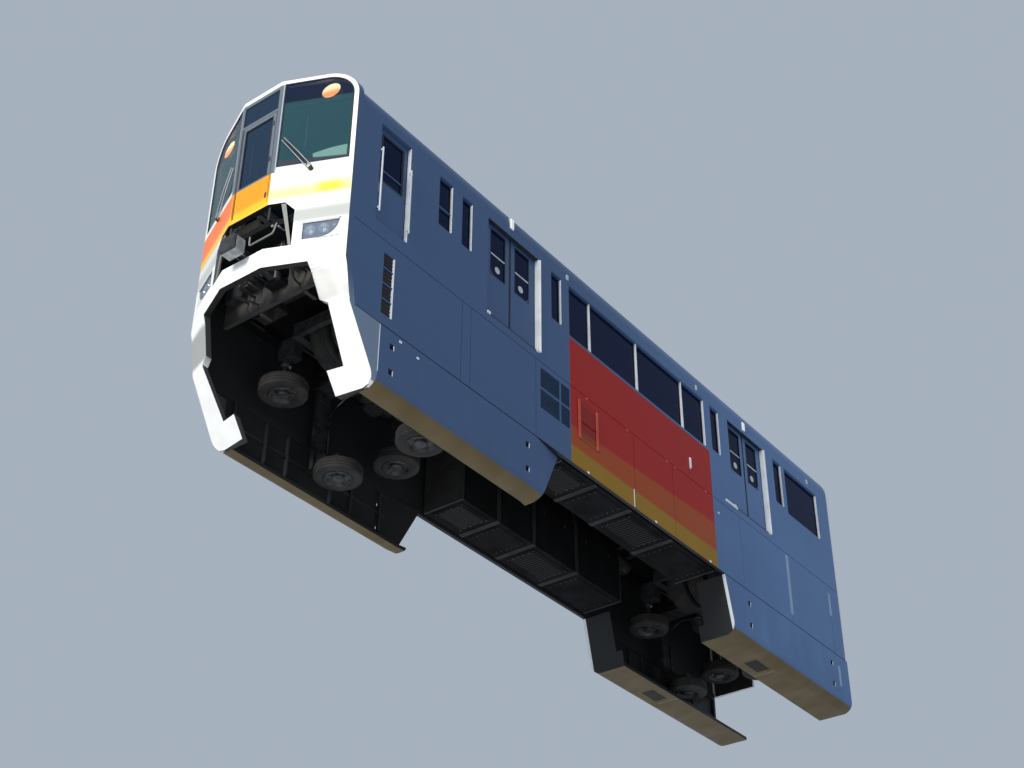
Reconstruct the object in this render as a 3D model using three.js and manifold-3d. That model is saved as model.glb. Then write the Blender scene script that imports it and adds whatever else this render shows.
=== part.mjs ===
// The lead cab car of a straddle-beam monorail train, with its two bogies, doors and couplers.
// Millimetres. +X points to the nose, +Y to the car's left, +Z up. z = 0 is the beam's running
// surface, which the tyres touch, and y = 0 is the beam's centre. x = 0 lies 7.3 m ahead of the
// rear coupling plane, which is half the spacing of the train's cars.
import * as THREE from 'three';
import { ConvexGeometry } from 'three/addons/geometries/ConvexGeometry.js';
import { mergeVertices } from 'three/addons/utils/BufferGeometryUtils.js';
import Module from 'manifold-3d';

const wasm = await Module();
wasm.setup();

// Driving dimensions of the body
const GAP = 0.3;                 // left between pieces that touch
const CLEAR = 5;                 // left between pieces that move past each other
const HALF_WIDTH = 1490;
const SKIN = 60;                 // side wall, lower panel and skirt thickness
const REAR = -7060;              // rear face of the body
const REAR_WALL = 60;            // rear wall thickness
const COUPLING = -7300;          // plane where the next car's gangway meets this one's
const SIDE_FRONT = 7150;         // where the side meets the nose
const NOSE_FRONT = 7650;         // centre facet of the nose
const NOSE_RETURN = 110;         // how far the nose moulding runs back along the side
const NOSE_SHELL = 90;           // nose moulding thickness
const POST_Y = 390;              // corner between the centre facet and a side facet
const Z_BOTTOM = -1460;          // lowest edge of the skirts
const Z_SKIRT_TOP = -450;        // seam between lower panels and skirts
const Z_PANEL_TOP = 980;         // seam between side wall and lower panels
const Z_RAKE = 310;              // below this the nose leans back
const Z_FLOOR = 1130;
const Z_WALL_TOP = 3150;
const Z_CEILING = 3300;
const SHOULDER_RADIUS = 450;
const Z_BODY_SHOULDER = 3180;    // where the roof's shoulders begin to curve
const BODY_SHOULDER_END = 0.464 * Math.PI; // angle at which a shoulder runs into the crowned roof
const Z_CROWN = 3690;
const Z_NOSE_SHOULDER = 3285;    // the nose moulding stands proud of the roof and is flat on top
const NOSE_SHOULDER_END = 0.5 * Math.PI;
const SEAM = 12;                 // visible gap along the two long seams
const LEG_REAR = 6390;           // joint between a nose leg and the front skirt
const SKIRT_CORNER = 200;        // radius of the skirts' lower corner
const SILL = 170;                // depth of the floor's side beams
const FLOOR_PLATE = 100;

// Driving dimensions of the running gear
const BOGIES = [
  { name: 'front', x: 4660 },
  { name: 'rear', x: -4940 },
];
const AXLE_X = 750;              // axle from its bogie's centre
const TYRE_RADIUS = 503;
const TYRE_OUTER_Y = 390;        // outside of a twin tyre
const TWIN_GAP = 60;             // between the two tyres of one axle
const BEAM_HALF_WIDTH = 425;
const GUIDE_RADIUS = 365;
const GUIDE_Y = BEAM_HALF_WIDTH + GUIDE_RADIUS;
const GUIDE_X = 1250;            // guide wheel from its bogie's centre
const GUIDE_TOP = -240;          // top of a guide tyre
const GUIDE_WIDTH = 220;
const STABILISER_TOP = -1040;

// Doorways, windows and panels. Columns are named in each row; x counts forward.
const DOORWAYS = [
  { name: 'front', x: 3430 },
  { name: 'rear', x: -3770 },
];
const DOORWAY = { halfWidth: 660, bottom: Z_FLOOR, top: 2980 };
const WINDOWS = [
  { front: 5290, rear: 4950, bottom: 2040, top: 3000 },
  { front: 4740, rear: 4470, bottom: 2010, top: 2980 },
  { front: 2440, rear: 2140, bottom: 2010, top: 2980 },
  { front: 1950, rear: -2280, bottom: 1950, top: 2980 },
  { front: -2480, rear: -2800, bottom: 2010, top: 2980 },
  { front: -4790, rear: -5130, bottom: 2010, top: 2980 },
  { front: -5240, rear: -6550, bottom: 1950, top: 2980 },
];
const CREW_DOOR = { front: 6615, rear: 5945, bottom: 1225, top: 3050, thickness: 40, recess: 70 };
const CREW_WINDOW = { front: 6510, rear: 6050, bottom: 2090, top: 2940 };
const CREW_HINGE = { fromJamb: 22, fromInside: 12, pin: 9 };
const HANDRAILS = [
  { x: CREW_DOOR.front - 20, foot: 30 },
  { x: CREW_DOOR.rear + 20, foot: -30 },
];
const HANDRAIL = { radius: 14, bottom: 1380, top: 2580, out: 32 };
const PANEL_JOINTS = [4670, 4460, 2860, 160, -1030, -3260, -4990, -6600];
// Each skirt has a lip turned in under it, of which lip is the inner edge
const SKIRTS = [
  {
    name: 'front', lip: 1180,
    frontTop: LEG_REAR - GAP, frontBottom: LEG_REAR - GAP, rearTop: 2180, rearBottom: 2700,
  },
  { name: 'rear', lip: 790, frontTop: -2580, frontBottom: -2830, rearTop: REAR, rearBottom: REAR },
];
// The rear skirt's front end is closed by a plate, cut back above a level
const END_PLATE = { thickness: 30, step: -1180, stepIn: 120 };
const SKIRT_BEND = { x: 2850, slope: 0.138 }; // behind it the front skirt turns inwards
const SKIRT_HANGERS = [[2870, 6720], [-6980, -2850]];
const SKIRT_HOLES = [6130, 3070, -3380, -6400];
const SKIRT_HOLE_LEVELS = [-705, -1120];

// Colours, roughness and metalness of the finishes
function finish(name, color, roughness, metalness = 0, extra = {}) {
  return new THREE.MeshStandardMaterial({ name, color, roughness, metalness, ...extra });
}

const SILVER = finish('silver_paint', 0x8f9aa8, 0.42, 0.35);
const WHITE = finish('white_paint', 0xe9e9e4, 0.4);
const DARK = finish('dark_paint', 0x2c2e31, 0.7, 0.1);
const STEEL = finish('steel', 0x6d6f72, 0.5, 0.8);
const TYRE = finish('tyre', 0x18181a, 0.9);
const RUBBER = finish('rubber', 0x232427, 0.85);
const GLASS = finish('glass', 0x35505c, 0.08, 0, { transparent: true, opacity: 0.4 });
const LAMP = finish('lamp', 0xe8eef2, 0.1);
const TRIM = finish('interior_trim', 0xc9c6bd, 0.7);
const SEAT = finish('seat_fabric', 0x35517a, 0.95);

// Closed geometry to solid and back, and the two boolean operations
function toSolid(geometry) {
  const bare = geometry.clone();
  bare.deleteAttribute('normal');
  bare.deleteAttribute('uv');
  const merged = mergeVertices(bare, 1e-3);
  return new wasm.Manifold(new wasm.Mesh({
    numProp: 3,
    vertProperties: new Float32Array(merged.attributes.position.array),
    triVerts: new Uint32Array(merged.index.array),
  }));
}

function toGeometry(solid) {
  const mesh = solid.getMesh();
  const geometry = new THREE.BufferGeometry();
  geometry.setAttribute('position', new THREE.BufferAttribute(mesh.vertProperties.slice(), 3));
  geometry.setIndex(new THREE.BufferAttribute(mesh.triVerts.slice(), 1));
  geometry.computeVertexNormals();
  return geometry;
}

function join(...solids) {
  return solids.reduce((whole, piece) => whole.add(piece));
}

function cut(solid, ...tools) {
  return tools.reduce((rest, tool) => rest.subtract(tool), solid);
}

// Simple solids in the car's axes
function block(x0, x1, y0, y1, z0, z1) {
  const geometry = new THREE.BoxGeometry(x1 - x0, y1 - y0, z1 - z0);
  geometry.translate((x0 + x1) / 2, (y0 + y1) / 2, (z0 + z1) / 2);
  return toSolid(geometry);
}

// Local axes of an outline drawn in a plane and pushed along one of the car's axes
const OUTLINE_AXES = {
  x: [new THREE.Vector3(0, 1, 0), new THREE.Vector3(0, 0, 1), new THREE.Vector3(1, 0, 0)],
  y: [new THREE.Vector3(1, 0, 0), new THREE.Vector3(0, 0, 1), new THREE.Vector3(0, -1, 0)],
  z: [new THREE.Vector3(1, 0, 0), new THREE.Vector3(0, 1, 0), new THREE.Vector3(0, 0, 1)],
};

function extrudeAlong(axis, shape, from, to, curveSegments = 6) {
  const geometry = new THREE.ExtrudeGeometry(shape, {
    depth: to - from, bevelEnabled: false, curveSegments,
  });
  geometry.applyMatrix4(new THREE.Matrix4().makeBasis(...OUTLINE_AXES[axis]));
  const start = { x: [from, 0, 0], y: [0, to, 0], z: [0, 0, from] }[axis];
  geometry.translate(...start);
  return toSolid(geometry);
}

function prism(axis, points, from, to) {
  const shape = new THREE.Shape(points.map(([u, v]) => new THREE.Vector2(u, v)));
  return extrudeAlong(axis, shape, from, to);
}

// A round bar along one axis; u and v are the other two coordinates, in X, Y, Z order
function bar(axis, radius, from, to, u, v, sides = 16) {
  const geometry = new THREE.CylinderGeometry(radius, radius, to - from, sides);
  const middle = (from + to) / 2;
  if (axis === 'x') geometry.rotateZ(-Math.PI / 2).translate(middle, u, v);
  if (axis === 'y') geometry.translate(u, middle, v);
  if (axis === 'z') geometry.rotateX(Math.PI / 2).translate(u, v, middle);
  return toSolid(geometry);
}

function wedge(corners) {
  return toSolid(new ConvexGeometry(corners.map((corner) => new THREE.Vector3(...corner))));
}

// Every piece is drawn for the left side; the right one is its mirror image
function mirrored(geometry) {
  const other = geometry.clone();
  other.scale(1, -1, 1);
  const index = other.index.array;
  for (let i = 0; i < index.length; i += 3) [index[i], index[i + 1]] = [index[i + 1], index[i]];
  other.computeVertexNormals();
  return other;
}

function piece(name, solid, material, parent) {
  const mesh = new THREE.Mesh(toGeometry(solid), material);
  mesh.name = name;
  parent.add(mesh);
  return mesh;
}

function bothSides(name, solid, material, parent) {
  const left = piece(`${name}_left`, solid, material, parent);
  const right = new THREE.Mesh(mirrored(left.geometry), material);
  right.name = `${name}_right`;
  parent.add(right);
}

// Outline seen from the front, from the sill level given up over the roof. The shoulders start at
// one level and end at one angle, and between them the top runs on smoothly to the middle
function frontOutline(sill, shoulderZ, shoulderEnd, inset = 0) {
  const half = HALF_WIDTH - inset;
  const radius = SHOULDER_RADIUS - inset;
  const centreY = HALF_WIDTH - SHOULDER_RADIUS;
  const endY = centreY + radius * Math.cos(shoulderEnd);
  const endZ = shoulderZ + radius * Math.sin(shoulderEnd);
  const crown = endZ + endY / 2 / Math.tan(shoulderEnd);
  const shape = new THREE.Shape();
  shape.moveTo(-half, sill);
  shape.lineTo(half, sill);
  shape.absarc(centreY, shoulderZ, radius, 0, shoulderEnd, false);
  shape.quadraticCurveTo(endY / 2, crown, 0, crown);
  shape.quadraticCurveTo(-endY / 2, crown, -endY, endZ);
  shape.absarc(-centreY, shoulderZ, radius, Math.PI - shoulderEnd, Math.PI, false);
  return shape;
}

function bodyOutline(sill, inset) {
  return frontOutline(sill, Z_BODY_SHOULDER, BODY_SHOULDER_END, inset);
}

function noseOutline(sill, inset) {
  return frontOutline(sill, Z_NOSE_SHOULDER, NOSE_SHOULDER_END, inset);
}

// Plan of the nose: centre facet and two side facets, set back by an inset
function nosePlan(back, inset = 0) {
  const slope = (HALF_WIDTH - POST_Y) / (NOSE_FRONT - SIDE_FRONT);
  const facetInset = inset * Math.hypot(1, 1 / slope);
  const front = NOSE_FRONT - inset;
  const half = HALF_WIDTH - inset;
  const post = POST_Y + (facetInset - inset) * -slope;
  const side = SIDE_FRONT - facetInset + inset / slope;
  return [[back, -half], [side, -half], [front, -post], [front, post], [side, half], [back, half]];
}

function noseSpace(inset, z0, z1) {
  return prism('z', nosePlan(REAR - 100, inset), z0, z1);
}

const car = new THREE.Group();
car.name = 'monorail_car';

// Side walls with their window and door openings, the rails that the passenger doors hang from, the
// casing of the crew door and its handrails
const DOOR_RAIL = { bottom: 3050, top: 3140 };
const CREW_CASING_Y = 1350;

function sideWall() {
  const inner = HALF_WIDTH - SKIN;
  const front = SIDE_FRONT - NOSE_RETURN - GAP;
  let wall = block(REAR + REAR_WALL + GAP, front, inner, HALF_WIDTH, Z_PANEL_TOP + SEAM / 2, Z_WALL_TOP);
  for (const { x } of DOORWAYS) {
    const { halfWidth, bottom, top } = DOORWAY;
    wall = cut(wall, block(x - halfWidth, x + halfWidth, inner - 1, HALF_WIDTH + 1, bottom, top));
    const rail = block(x - 1420, x + 1420, inner - 100, inner, DOOR_RAIL.bottom, DOOR_RAIL.top);
    wall = join(wall, rail);
  }
  for (const { front: x1, rear: x0, bottom, top } of WINDOWS) {
    wall = cut(wall, block(x0, x1, inner - 1, HALF_WIDTH + 1, bottom, top));
  }
  const { front: doorFront, rear: doorRear, bottom, top } = CREW_DOOR;
  const casing = block(doorRear - 35, doorFront + 35, CREW_CASING_Y, inner + 1, bottom - 35, top + 35);
  wall = join(wall, casing);
  wall = cut(wall, block(doorRear, doorFront, CREW_CASING_Y - 1, HALF_WIDTH + 1, bottom, top));
  for (const { x, foot } of HANDRAILS) {
    const { radius, bottom: low, top: high, out } = HANDRAIL;
    const grip = bar('z', radius, low, high, x, HALF_WIDTH + out, 8);
    const feet = [low + 40, high - 70].map((z) => (
      block(Math.min(x, x + foot), Math.max(x, x + foot), HALF_WIDTH - 1, HALF_WIDTH + out, z, z + 30)));
    wall = join(wall, grip, ...feet);
  }
  const leafInside = HALF_WIDTH - CREW_DOOR.recess - CREW_DOOR.thickness;
  const pintle = bar('z', CREW_HINGE.pin, bottom - 2, bottom + CLEAR - GAP,
    doorRear + CREW_HINGE.fromJamb, leafInside + CREW_HINGE.fromInside, 12);
  return join(wall, pintle);
}

bothSides('side_wall', sideWall(), SILVER, car);

// One strip of glass behind each wall, cleared at the doorways
function sideGlass() {
  const outer = HALF_WIDTH - SKIN - GAP;
  let strip = block(-6700, 5400, outer - 11, outer, 1900, 3040);
  for (const { x } of DOORWAYS) {
    strip = cut(strip, block(x - 700, x + 700, outer - 20, outer + 1, 1800, 3000));
  }
  return strip;
}

bothSides('side_glass', sideGlass(), GLASS, car);

// Lower side panels with their joints, louvres, hatch and the grille below the crew door
function lowerPanel() {
  const inner = HALF_WIDTH - SKIN;
  const rear = REAR + REAR_WALL + GAP;
  const front = SIDE_FRONT - NOSE_RETURN - GAP;
  const outline = [
    [rear, Z_SKIRT_TOP + SEAM / 2], [front - 140, Z_SKIRT_TOP + SEAM / 2],
    [front, Z_RAKE], [front, Z_PANEL_TOP - SEAM / 2], [rear, Z_PANEL_TOP - SEAM / 2],
  ];
  let panel = prism('y', outline, inner, HALF_WIDTH);
  for (const x of PANEL_JOINTS) {
    panel = cut(panel, block(x - 4, x + 4, HALF_WIDTH - 8, HALF_WIDTH + 1, Z_SKIRT_TOP, Z_PANEL_TOP));
  }
  const recess = (x0, x1, z0, z1) => block(x0, x1, HALF_WIDTH - 22, HALF_WIDTH + 1, z0, z1);
  const louvres = [[2240, 2740], [1970, 2200]].flatMap(([x0, x1]) => (
    [[130, 480], [520, 876]].map(([z0, z1]) => recess(x0, x1, z0, z1))));
  const grille = [-270, -5, 260, 525].map((z) => recess(6190, 6400, z, z + 245));
  panel = cut(panel, ...louvres, ...grille);
  for (const [x0, x1] of SKIRT_HANGERS) {
    const hanger = block(x0, x1, inner - 40, inner - GAP, Z_SKIRT_TOP - 70, Z_SKIRT_TOP + 60);
    const web = block(x0, x1, inner - 10, inner + 10, Z_SKIRT_TOP + 20, Z_SKIRT_TOP + 60);
    panel = join(panel, hanger, web);
  }
  return panel;
}

bothSides('lower_panel', lowerPanel(), SILVER, car);

// Skirts that hang over the beam. Their section is a flat wall with a rounded lower corner and a
// lip turned in under it, and their ends slant
function skirtShell(x0, x1, lip) {
  const y = HALF_WIDTH - SKIRT_CORNER;
  const z = Z_BOTTOM + SKIRT_CORNER;
  const top = Z_SKIRT_TOP - SEAM / 2;
  const shape = new THREE.Shape();
  shape.moveTo(lip, Z_BOTTOM);
  shape.lineTo(y, Z_BOTTOM);
  shape.absarc(y, z, SKIRT_CORNER, -Math.PI / 2, 0, false);
  shape.lineTo(HALF_WIDTH, top);
  shape.lineTo(HALF_WIDTH - SKIN, top);
  shape.absarc(y, z, SKIRT_CORNER - SKIN, 0, -Math.PI / 2, true);
  shape.lineTo(lip, Z_BOTTOM + SKIN);
  return extrudeAlong('x', shape, x0, x1, 5);
}

// Leans a solid sideways behind a place along the car
function bentBehind(solid, { x, slope }) {
  const geometry = toGeometry(solid);
  geometry.applyMatrix4(new THREE.Matrix4().set(1, 0, 0, 0, slope, 1, 0, -slope * x, 0, 0, 1, 0, 0, 0, 0, 1));
  return toSolid(geometry);
}

function skirtEndPlate({ lip, frontTop, frontBottom }) {
  const { thickness, step, stepIn } = END_PLATE;
  const top = Z_SKIRT_TOP - SEAM / 2;
  const slope = (frontTop - frontBottom) / (Z_SKIRT_TOP - Z_BOTTOM);
  const edge = (z) => frontBottom + (z - Z_BOTTOM) * slope;
  const plate = (low, high, inner) => prism('y', [
    [edge(low) - thickness, low], [frontTop, low], [frontTop, high], [edge(high) - thickness, high],
  ], inner, HALF_WIDTH - SKIN + 1);
  return join(plate(Z_BOTTOM + SKIN - 1, step, lip), plate(step - 1, top, lip + stepIn));
}

function skirt(row) {
  const { name, lip, frontTop, frontBottom, rearTop, rearBottom } = row;
  const inner = HALF_WIDTH - SKIN;
  const rear = Math.min(rearTop, rearBottom);
  const front = Math.max(frontTop, frontBottom);
  const full = name === 'front'
    ? join(skirtShell(SKIRT_BEND.x, front, lip), bentBehind(skirtShell(rear, SKIRT_BEND.x, lip), SKIRT_BEND))
    : join(skirtShell(rear, front, lip), skirtEndPlate(row));
  const side = prism('y', [
    [rearBottom, Z_BOTTOM - 1], [frontBottom, Z_BOTTOM - 1],
    [frontTop, Z_SKIRT_TOP], [rearTop, Z_SKIRT_TOP],
  ], 0, HALF_WIDTH + 1);
  let shell = full.intersect(side);
  for (const x of SKIRT_HOLES) {
    for (const z of SKIRT_HOLE_LEVELS) {
      shell = cut(shell, block(x - 45, x + 45, inner - 1, HALF_WIDTH + 1, z - 45, z + 45));
    }
  }
  return shell;
}

for (const row of SKIRTS) bothSides(`skirt_${row.name}`, skirt(row), SILVER, car);

// Roof as thick as from the ceiling to the outer skin, with two low cooling units
function roof() {
  const outline = extrudeAlong('x', bodyOutline(Z_WALL_TOP + GAP), REAR + REAR_WALL + GAP, NOSE_FRONT);
  const inner = block(REAR, NOSE_FRONT + 1, -(HALF_WIDTH - SKIN), HALF_WIDTH - SKIN, 0, Z_CEILING);
  const full = block(REAR, SIDE_FRONT - NOSE_RETURN - GAP, -HALF_WIDTH - 1, HALF_WIDTH + 1, 0, Z_CROWN + 100);
  const space = join(full, noseSpace(NOSE_SHELL + GAP, 0, Z_CROWN + 100));
  let shell = cut(outline, inner).intersect(space);
  for (const x of [3400, -3400]) {
    const unit = prism('x', [[-850, Z_CROWN - 80], [850, Z_CROWN - 80], [800, 3730], [-800, 3730]],
      x - 1300, x + 1300);
    shell = join(shell, unit);
  }
  return shell;
}

piece('roof', roof(), SILVER, car);

// Floor with its side beams, the bearers over the bogies and the yokes of both couplers
const COUPLER_Z = 640;
const COUPLER_EYE = { radius: 90, half: 60 };
const COUPLER_PIVOTS = { front: 7000, rear: -6880 };

function couplerYoke(x, direction) {
  const { radius, half } = COUPLER_EYE;
  const back = x - direction * (radius + 10);
  const wall = back - direction * 60;
  const tip = x + direction * 60;
  const across = (a, b, z0, z1) => block(Math.min(a, b), Math.max(a, b), -150, 150, z0, z1);
  return join(
    across(wall, back, COUPLER_Z - half - 70, Z_FLOOR - FLOOR_PLATE + 1),
    across(wall, tip, COUPLER_Z - half - 70, COUPLER_Z - half - GAP),
    across(wall, tip, COUPLER_Z + half + GAP, COUPLER_Z + half + 70),
  );
}

function floor() {
  const inner = HALF_WIDTH - SKIN - GAP;
  const rear = REAR + REAR_WALL + GAP;
  const low = Z_FLOOR - FLOOR_PLATE;
  const plate = block(rear, NOSE_FRONT, -inner, inner, low, Z_FLOOR)
    .intersect(noseSpace(NOSE_SHELL + GAP, 0, Z_FLOOR + 1));
  const beams = [1, -1].map((side) => block(rear, SIDE_FRONT - 250,
    Math.min(side * 1250, side * inner), Math.max(side * 1250, side * inner), low - SILL, low + 1));
  const bearers = BOGIES.map(({ x }) => block(x - 250, x + 250, -1251, 1251, low - SILL, low + 1));
  const yokes = [couplerYoke(COUPLER_PIVOTS.front, 1), couplerYoke(COUPLER_PIVOTS.rear, -1)];
  return join(plate, ...beams, ...bearers, ...yokes);
}

piece('floor', floor(), DARK, car);

// Nose moulding: windscreen frame, waist, coupler pocket, crossbar and the two legs
const FRONT_DOOR = { halfWidth: 345, bottom: 1420, top: 3165, thickness: 45 };
const SCREEN = { inner: 435, bottom: 1980, edge: 62 };
const TRANSOM_TOP = 3600;
const POCKET = { top: 1400, bottom: 545, half: 760, topHalf: 620 };
const HEADLAMP = { inner: 870, outer: 1390, bottom: 600, top: 930 };
const CROSSBAR_BOTTOM = 220;
const LEG_THICKNESS = NOSE_RETURN - 5;
const FOOT_INNER = 870;

// The moulding caps the front of the roof and follows the facets at its front
function noseShell() {
  const outside = extrudeAlong('x', noseOutline(CROSSBAR_BOTTOM), SIDE_FRONT - NOSE_RETURN, NOSE_FRONT);
  const inside = extrudeAlong('x', bodyOutline(-2000, -GAP), REAR, NOSE_FRONT)
    .intersect(noseSpace(NOSE_SHELL, -1000, 4000));
  return cut(outside.intersect(noseSpace(0, 0, 4000)), inside);
}

// How far the nose's edge leans back below the rake, and how far its face turns back across the
// car, at three levels
const LEAN = [
  { z: Z_RAKE, back: 0, skew: (NOSE_FRONT - SIDE_FRONT) / (HALF_WIDTH - POST_Y) },
  { z: Z_SKIRT_TOP, back: 140, skew: 0.3 },
  { z: Z_BOTTOM, back: 740, skew: 0.15 },
];

function leanAt(z) {
  const [upper, lower] = z > Z_SKIRT_TOP ? [LEAN[0], LEAN[1]] : [LEAN[1], LEAN[2]];
  const along = Math.max(0, (upper.z - z) / (upper.z - lower.z));
  const between = (key) => upper[key] + (lower[key] - upper[key]) * along;
  return { back: between('back'), skew: between('skew') };
}

// One leg in slices, each a quadrilateral in plan. It steps outwards once, and its lower outer
// corner is as round as the skirts'
function leg() {
  const levels = [
    { z: Z_RAKE + 60, inner: 960 },
    { z: Z_RAKE, inner: 985 },
    { z: -340, inner: 1080 },
    { z: -410, inner: 1200 },
    { z: Z_SKIRT_TOP, inner: 1195 },
    { z: Z_BOTTOM + SKIRT_CORNER, inner: 1115 },
  ];
  for (const degrees of [30, 60, 90]) {
    const angle = THREE.MathUtils.degToRad(degrees);
    levels.push({
      z: Z_BOTTOM + SKIRT_CORNER * (1 - Math.sin(angle)),
      inner: 1115,
      outer: HALF_WIDTH - SKIRT_CORNER * (1 - Math.cos(angle)),
    });
  }
  const slice = ({ z, inner, outer = HALF_WIDTH }) => {
    const { back, skew } = leanAt(z);
    const faceX = (y) => SIDE_FRONT - back + (HALF_WIDTH - y) * skew;
    return [
      [faceX(outer), outer, z], [faceX(inner), inner, z],
      [faceX(inner) - LEG_THICKNESS, inner, z], [faceX(outer) - LEG_THICKNESS, outer, z],
    ];
  };
  const parts = levels.slice(1).map((level, i) => wedge([...slice(levels[i]), ...slice(level)]));
  const footTop = { z: Z_BOTTOM + 300, inner: FOOT_INNER, outer: 1130 };
  const footBottom = { z: Z_BOTTOM, inner: FOOT_INNER, outer: 1130 };
  const foot = wedge([...slice(footTop), ...slice(footBottom)]);
  const behindJoint = block(LEG_REAR, NOSE_FRONT, 0, HALF_WIDTH + 1, Z_BOTTOM - 1, 1000);
  return join(...parts, foot).intersect(behindJoint);
}

// Side of a leg, from the nose's leaning edge back to the skirt, with the skirts' section
function legSide() {
  const edge = (z) => SIDE_FRONT - leanAt(z).back;
  const upper = prism('y', [
    [SIDE_FRONT - NOSE_RETURN, Z_RAKE], [SIDE_FRONT, Z_RAKE], [edge(Z_SKIRT_TOP), Z_SKIRT_TOP],
    [edge(Z_SKIRT_TOP) - NOSE_RETURN, Z_SKIRT_TOP],
  ], HALF_WIDTH - SKIN, HALF_WIDTH);
  const below = Z_SKIRT_TOP - SEAM / 2;
  const profile = prism('y', [
    [LEG_REAR, Z_BOTTOM - 1], [edge(Z_BOTTOM), Z_BOTTOM - 1], [edge(Z_BOTTOM), Z_BOTTOM],
    [edge(below), below], [LEG_REAR, below],
  ], 0, HALF_WIDTH + 1);
  return join(upper, skirtShell(LEG_REAR, SIDE_FRONT, SKIRTS[0].lip).intersect(profile));
}

function mirrorSolid(solid) {
  return toSolid(mirrored(toGeometry(solid)));
}

// Space of a windscreen, whose upper outer corner follows the nose's outline
function screenOpening(inset) {
  const from = SIDE_FRONT - 400;
  const outline = extrudeAlong('x', noseOutline(0, SCREEN.edge + inset), from, NOSE_FRONT + 1);
  return outline.intersect(
    block(from - 1, NOSE_FRONT + 2, SCREEN.inner + inset, HALF_WIDTH, SCREEN.bottom + inset, 4000));
}

function noseFrame() {
  let nose = noseShell();
  const { halfWidth, bottom, top } = FRONT_DOOR;
  const edge = halfWidth + 11;
  const deep = SIDE_FRONT - 400;
  const doorway = block(deep, NOSE_FRONT + 1, -edge, edge, bottom - CLEAR, top + CLEAR);
  const transom = block(deep, NOSE_FRONT + 1, -edge, edge, top + 50, TRANSOM_TOP);
  const half = POCKET.half;
  const pocket = prism('x', [
    [-half, POCKET.bottom], [half, POCKET.bottom], [half, POCKET.top - 220], [POCKET.topHalf, POCKET.top - 60],
    [-POCKET.topHalf, POCKET.top - 60], [-half, POCKET.top - 220],
  ], deep, NOSE_FRONT + 1);
  nose = cut(nose, doorway, transom, pocket);
  const screen = screenOpening(0);
  nose = cut(nose, screen, mirrorSolid(screen));
  for (const side of [1, -1]) {
    const lamp = block(deep, NOSE_FRONT + 1, Math.min(side * HEADLAMP.inner, side * HEADLAMP.outer),
      Math.max(side * HEADLAMP.inner, side * HEADLAMP.outer), HEADLAMP.bottom, HEADLAMP.top);
    nose = cut(nose, lamp);
  }
  const legLeft = join(leg(), legSide());
  const pintle = bar('z', 12, bottom - CLEAR - 5, bottom - GAP, NOSE_FRONT - 30, 15 - halfWidth, 12);
  return join(nose, legLeft, mirrorSolid(legLeft), pintle);
}

piece('nose_frame', noseFrame(), WHITE, car);

// Glass set in the nose openings, and the two lamps
function nosePane(y0, y1, z0, z1, thickness, setBack) {
  const band = cut(noseSpace(setBack, z0, z1), noseSpace(setBack + thickness, z0 - 1, z1 + 1));
  return band.intersect(block(SIDE_FRONT - 600, NOSE_FRONT + 1, y0, y1, z0 - 1, z1 + 1));
}

bothSides('windscreen', nosePane(0, HALF_WIDTH, SCREEN.bottom, 4000, 14, 12)
  .intersect(screenOpening(GAP)), GLASS, car);
piece('transom_glass', nosePane(-355, 355, FRONT_DOOR.top + 50 + GAP, TRANSOM_TOP - GAP, 14, 12), GLASS, car);
bothSides('headlamp', nosePane(HEADLAMP.inner + GAP, HEADLAMP.outer - GAP,
  HEADLAMP.bottom + GAP, HEADLAMP.top - GAP, 70, 8), LAMP, car);

// Emergency door in the centre facet
function frontDoor() {
  const { halfWidth, bottom, top, thickness } = FRONT_DOOR;
  const leaf = block(NOSE_FRONT - thickness, NOSE_FRONT, -halfWidth, halfWidth, bottom, top);
  const pane = block(NOSE_FRONT - thickness - 1, NOSE_FRONT + 1, -halfWidth + 60, halfWidth - 60, 1960, top - 60);
  return cut(leaf, pane);
}

piece('front_door', frontDoor(), WHITE, car);

// Rear wall with the gangway doorway, as wide and high as the body
const GANGWAY = { half: 600, bottom: Z_FLOOR + 5, top: 3050 };

function rearWall() {
  const outline = extrudeAlong('x', bodyOutline(Z_SKIRT_TOP + SEAM / 2), REAR, REAR + REAR_WALL);
  const doorway = block(REAR - 1, REAR + REAR_WALL + 1, -GANGWAY.half, GANGWAY.half, GANGWAY.bottom, GANGWAY.top);
  const saddle = block(REAR - 1, REAR + REAR_WALL + 1, -520, 520, Z_SKIRT_TOP - 1, 930);
  return cut(outline, doorway, saddle);
}

piece('rear_wall', rearWall(), WHITE, car);

// Gangway bellows out to the coupling plane
function bellows() {
  const ring = (x0, x1, grow) => cut(
    block(x0, x1, -760 - grow, 760 + grow, 1020 - grow, 3160 + grow),
    block(x0 - 1, x1 + 1, -GANGWAY.half, GANGWAY.half, GANGWAY.bottom, GANGWAY.top),
  );
  const rear = REAR - GAP;
  const folds = [0, 1, 2].map((i) => ring(COUPLING + 30 + i * 70, COUPLING + 65 + i * 70, 40));
  return join(ring(COUPLING, rear, 0), ...folds);
}

piece('gangway_bellows', bellows(), RUBBER, car);

// Wall between the cab and the saloon, with its doorway and windows
function cabBulkhead() {
  const inner = HALF_WIDTH - SKIN - GAP;
  const wall = block(5700, 5745, -inner, inner, Z_FLOOR + GAP, Z_CEILING - GAP);
  const doorway = block(5699, 5746, -330, 330, Z_FLOOR, 2980);
  const panes = [1, -1].map((side) => block(5699, 5746,
    Math.min(side * 480, side * 1250), Math.max(side * 480, side * 1250), 2100, 2900));
  return cut(wall, doorway, ...panes);
}

piece('cab_bulkhead', cabBulkhead(), TRIM, car);

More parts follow.
